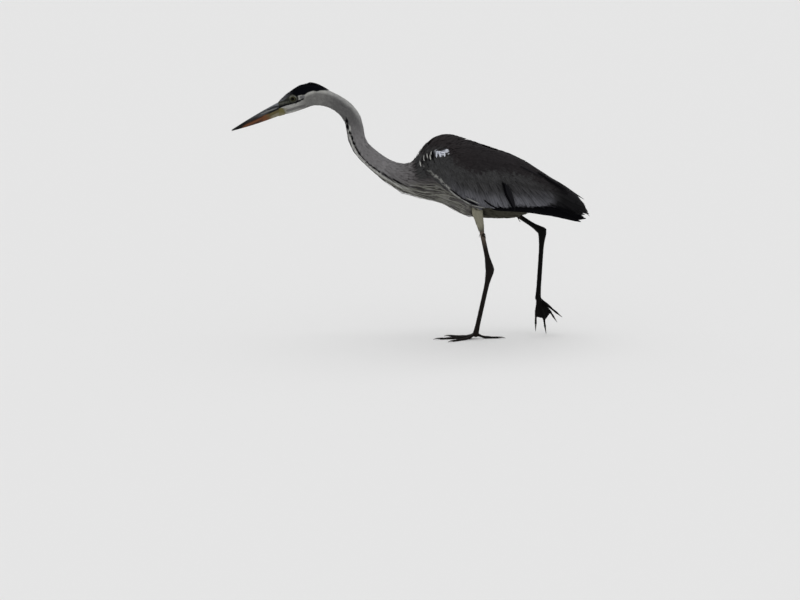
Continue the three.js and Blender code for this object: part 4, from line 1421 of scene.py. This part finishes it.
def makeBill(half):
    obj = joined(f"horn_{half}", [copyOf(f"bill_{half}")])
    applyModifier(obj, "REMESH", mode="VOXEL", voxel_size=bill["voxel"] * mm)
    applyModifier(obj, "SMOOTH", factor=0.5, iterations=bill["rounds"])
    if half == "upper":
        points, normals = pointsOf(obj), normalsOf(obj)
        onFlank = ease(np.abs(points[:, 0]) / mm, 1.0, 2.5)
        slit = bill["nostrilDepth"] * np.exp(-(fromLine(points, *bill["nostril"])[0] / 0.8) ** 2)
        away, share = fromLine(points, *bill["groove"])
        groove = bill["grooveDepth"] * np.exp(-(away / 1.1) ** 2) * (1 - share)
        movePoints(obj, points - normals * ((slit + groove) * onFlank * mm)[:, None])
    storeColours(obj.data, hornTones(pointsOf(obj), half == "upper"))
    obj.data.materials.append(billMaterial(f"horn_{half}"))
    activate(obj)
    bpy.ops.object.shade_smooth()
    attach(obj, "root")
    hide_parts(f"bill_{half}")


for half in ("upper", "lower"):
    makeBill(half)
print("bill made")


# The eyes: a yellow iris painted dim olive with painted shade, under a bulging cornea, with the pupil looking out
# and a little down.
eyes = {
    "radius": 8.2, "centre": (9.9, -273.2, 557.4), "gaze": (1, -0.17, 0.06), "bulge": 0.5,
    "pupil": 3.7, "iris": 6.2,
}


def eyeMaterial():
    material, shader, start = newMaterial("eye_glass", Coat_Weight=0.03, Coat_Roughness=0.02,
                                          Specular_IOR_Level=0.03, Roughness=0.12)
    split = start.node("SeparateXYZ", Vector=out(start.node("UVMap", {"uv_map": "gaze"}), "UV"))
    u, v = out(split, 0), out(split, 1)
    away = u.maths("SQRT", u * u + v * v)
    fibres = noise(start, out(start.node("TexCoord"), "Object"), 900.0, 3.0)
    # The iris's dim olive tones are painted shade over its yellow.
    colour = mixed(start, fibres, (0.040, 0.039, 0.018, 1), (0.085, 0.081, 0.042, 1))
    colour = mixed(start, away.smooth(eyes["iris"] - 0.9, eyes["iris"]), colour, (0.006, 0.0055, 0.004, 1))
    pupil = away.smooth(eyes["pupil"] + 0.25, eyes["pupil"] - 0.25)
    link(mixed(start, pupil, colour, (0.0006, 0.0006, 0.0006, 1)), shader, "Base Color")
    return material


eyeGlass = eyeMaterial()
for side, way in sides.items():
    bpy.ops.object.select_all(action="DESELECT")
    gaze = Vector((eyes["gaze"][0] * way, *eyes["gaze"][1:])).normalized()
    centre = Vector((eyes["centre"][0] * way, *eyes["centre"][1:])) * mm
    bpy.ops.mesh.primitive_uv_sphere_add(segments=64, ring_count=40, radius=eyes["radius"] * mm)
    ball = bpy.context.object
    ball.rotation_euler = gaze.to_track_quat("Z", "Y").to_euler()
    ball.location = centre
    bpy.ops.object.transform_apply(location=True, rotation=True, scale=True)
    ball.name = f"eyeball_{side}"
    points = pointsOf(ball)
    offset = (points - np.array(centre)) / mm
    ahead = offset @ np.array(gaze)
    sideways = offset - ahead[:, None] * np.array(gaze)
    cornea = eyes["bulge"] * ease(np.linalg.norm(sideways, axis=1), eyes["iris"], 0) * (ahead > 0)
    movePoints(ball, points + np.array(gaze) * (cornea * mm)[:, None])
    right = np.array(gaze.cross(Vector((0, 0, 1))).normalized())
    upright = np.array(gaze.cross(Vector(right)))
    disc = np.stack([sideways @ right, sideways @ upright], axis=1) + 40.0 * (ahead < 0)[:, None]
    loops = np.empty(len(ball.data.loops), int)
    ball.data.loops.foreach_get("vertex_index", loops)
    ball.data.uv_layers.new(name="gaze").data.foreach_set("uv", disc[loops].ravel())
    ball.data.materials.append(eyeGlass)
    bpy.ops.object.shade_smooth()
    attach(ball, "root")
    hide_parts(f"eye_{side}")
print("eyes made")


# The claws: smooth horn over the frame's claws.
claws = {"voxel": 0.4, "rounds": 3}


def clawMaterial():
    material, shader, start = newMaterial("claw_horn", Specular_IOR_Level=0.25)
    cloudy = noise(start, out(start.node("TexCoord"), "Object"), 260.0, 4.0)
    colour = mixed(start, cloudy, (0.012, 0.010, 0.009, 1), (0.045, 0.037, 0.030, 1))
    link(colour, shader, "Base Color")
    link(0.35 + (cloudy - 0.5) * 0.3, shader, "Roughness")
    bumped(start, shader, 0.3, 0.0002, cloudy)
    return material


clawHorn = clawMaterial()
for side in sides:
    names = [f"claw_{side}_{toe}" for toe in ("inner", "middle", "outer", "hind")]
    obj = joined(f"claws_{side}", [copyOf(name) for name in names])
    applyModifier(obj, "REMESH", mode="VOXEL", voxel_size=claws["voxel"] * mm)
    applyModifier(obj, "SMOOTH", factor=0.5, iterations=claws["rounds"])
    obj.data.materials.append(clawHorn)
    activate(obj)
    bpy.ops.object.shade_smooth()
    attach(obj, "root")
    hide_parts(*names)
print("claws made")


# Floor, light and camera.

studio = {
    "aim": (0, -25, 91.2), "azimuth": 78, "elevation": 9, "distance": 30, "lens": 600,
    "surround": 0.68, "lamp": 1.0, "lampSpread": 70, "lampFrom": (-0.3, 0.25, 1), "floorTone": 0.8,
}


def makeStudio():
    scene = bpy.context.scene
    scene.view_settings.view_transform = "Standard"
    world = bpy.data.worlds.new("surround")
    world.use_nodes = True
    world.node_tree.nodes["Background"].inputs["Color"].default_value = (1, 1, 1, 1)
    world.node_tree.nodes["Background"].inputs["Strength"].default_value = studio["surround"]
    scene.world = world
    bpy.ops.mesh.primitive_plane_add(size=120, location=(0, 0, 0))
    floor = bpy.context.object
    floor.name = "floor"
    paint = bpy.data.materials.new("floor_pale")
    paint.use_nodes = True
    shader = paint.node_tree.nodes["Principled BSDF"]
    shader.inputs["Base Color"].default_value = (studio["floorTone"],) * 3 + (1,)
    shader.inputs["Roughness"].default_value = 0.9
    floor.data.materials.append(paint)
    bpy.ops.object.light_add(type="SUN")
    lamp = bpy.context.object
    lamp.data.energy = studio["lamp"]
    lamp.data.angle = math.radians(studio["lampSpread"])
    lamp.rotation_euler = Vector(studio["lampFrom"]).to_track_quat("Z", "Y").to_euler()
    camera = bpy.data.objects.new("camera", bpy.data.cameras.new("camera"))
    scene.collection.objects.link(camera)
    a, e = math.radians(studio["azimuth"]), math.radians(studio["elevation"])
    back = Vector((math.sin(a) * math.cos(e), -math.cos(a) * math.cos(e), math.sin(e)))
    camera.location = Vector(studio["aim"]) * mm + back * studio["distance"]
    camera.rotation_euler = (-back).to_track_quat("-Z", "Y").to_euler()
    camera.data.lens = studio["lens"]
    camera.data.sensor_width = 36
    camera.data.clip_end = 200
    scene.camera = camera


makeStudio()
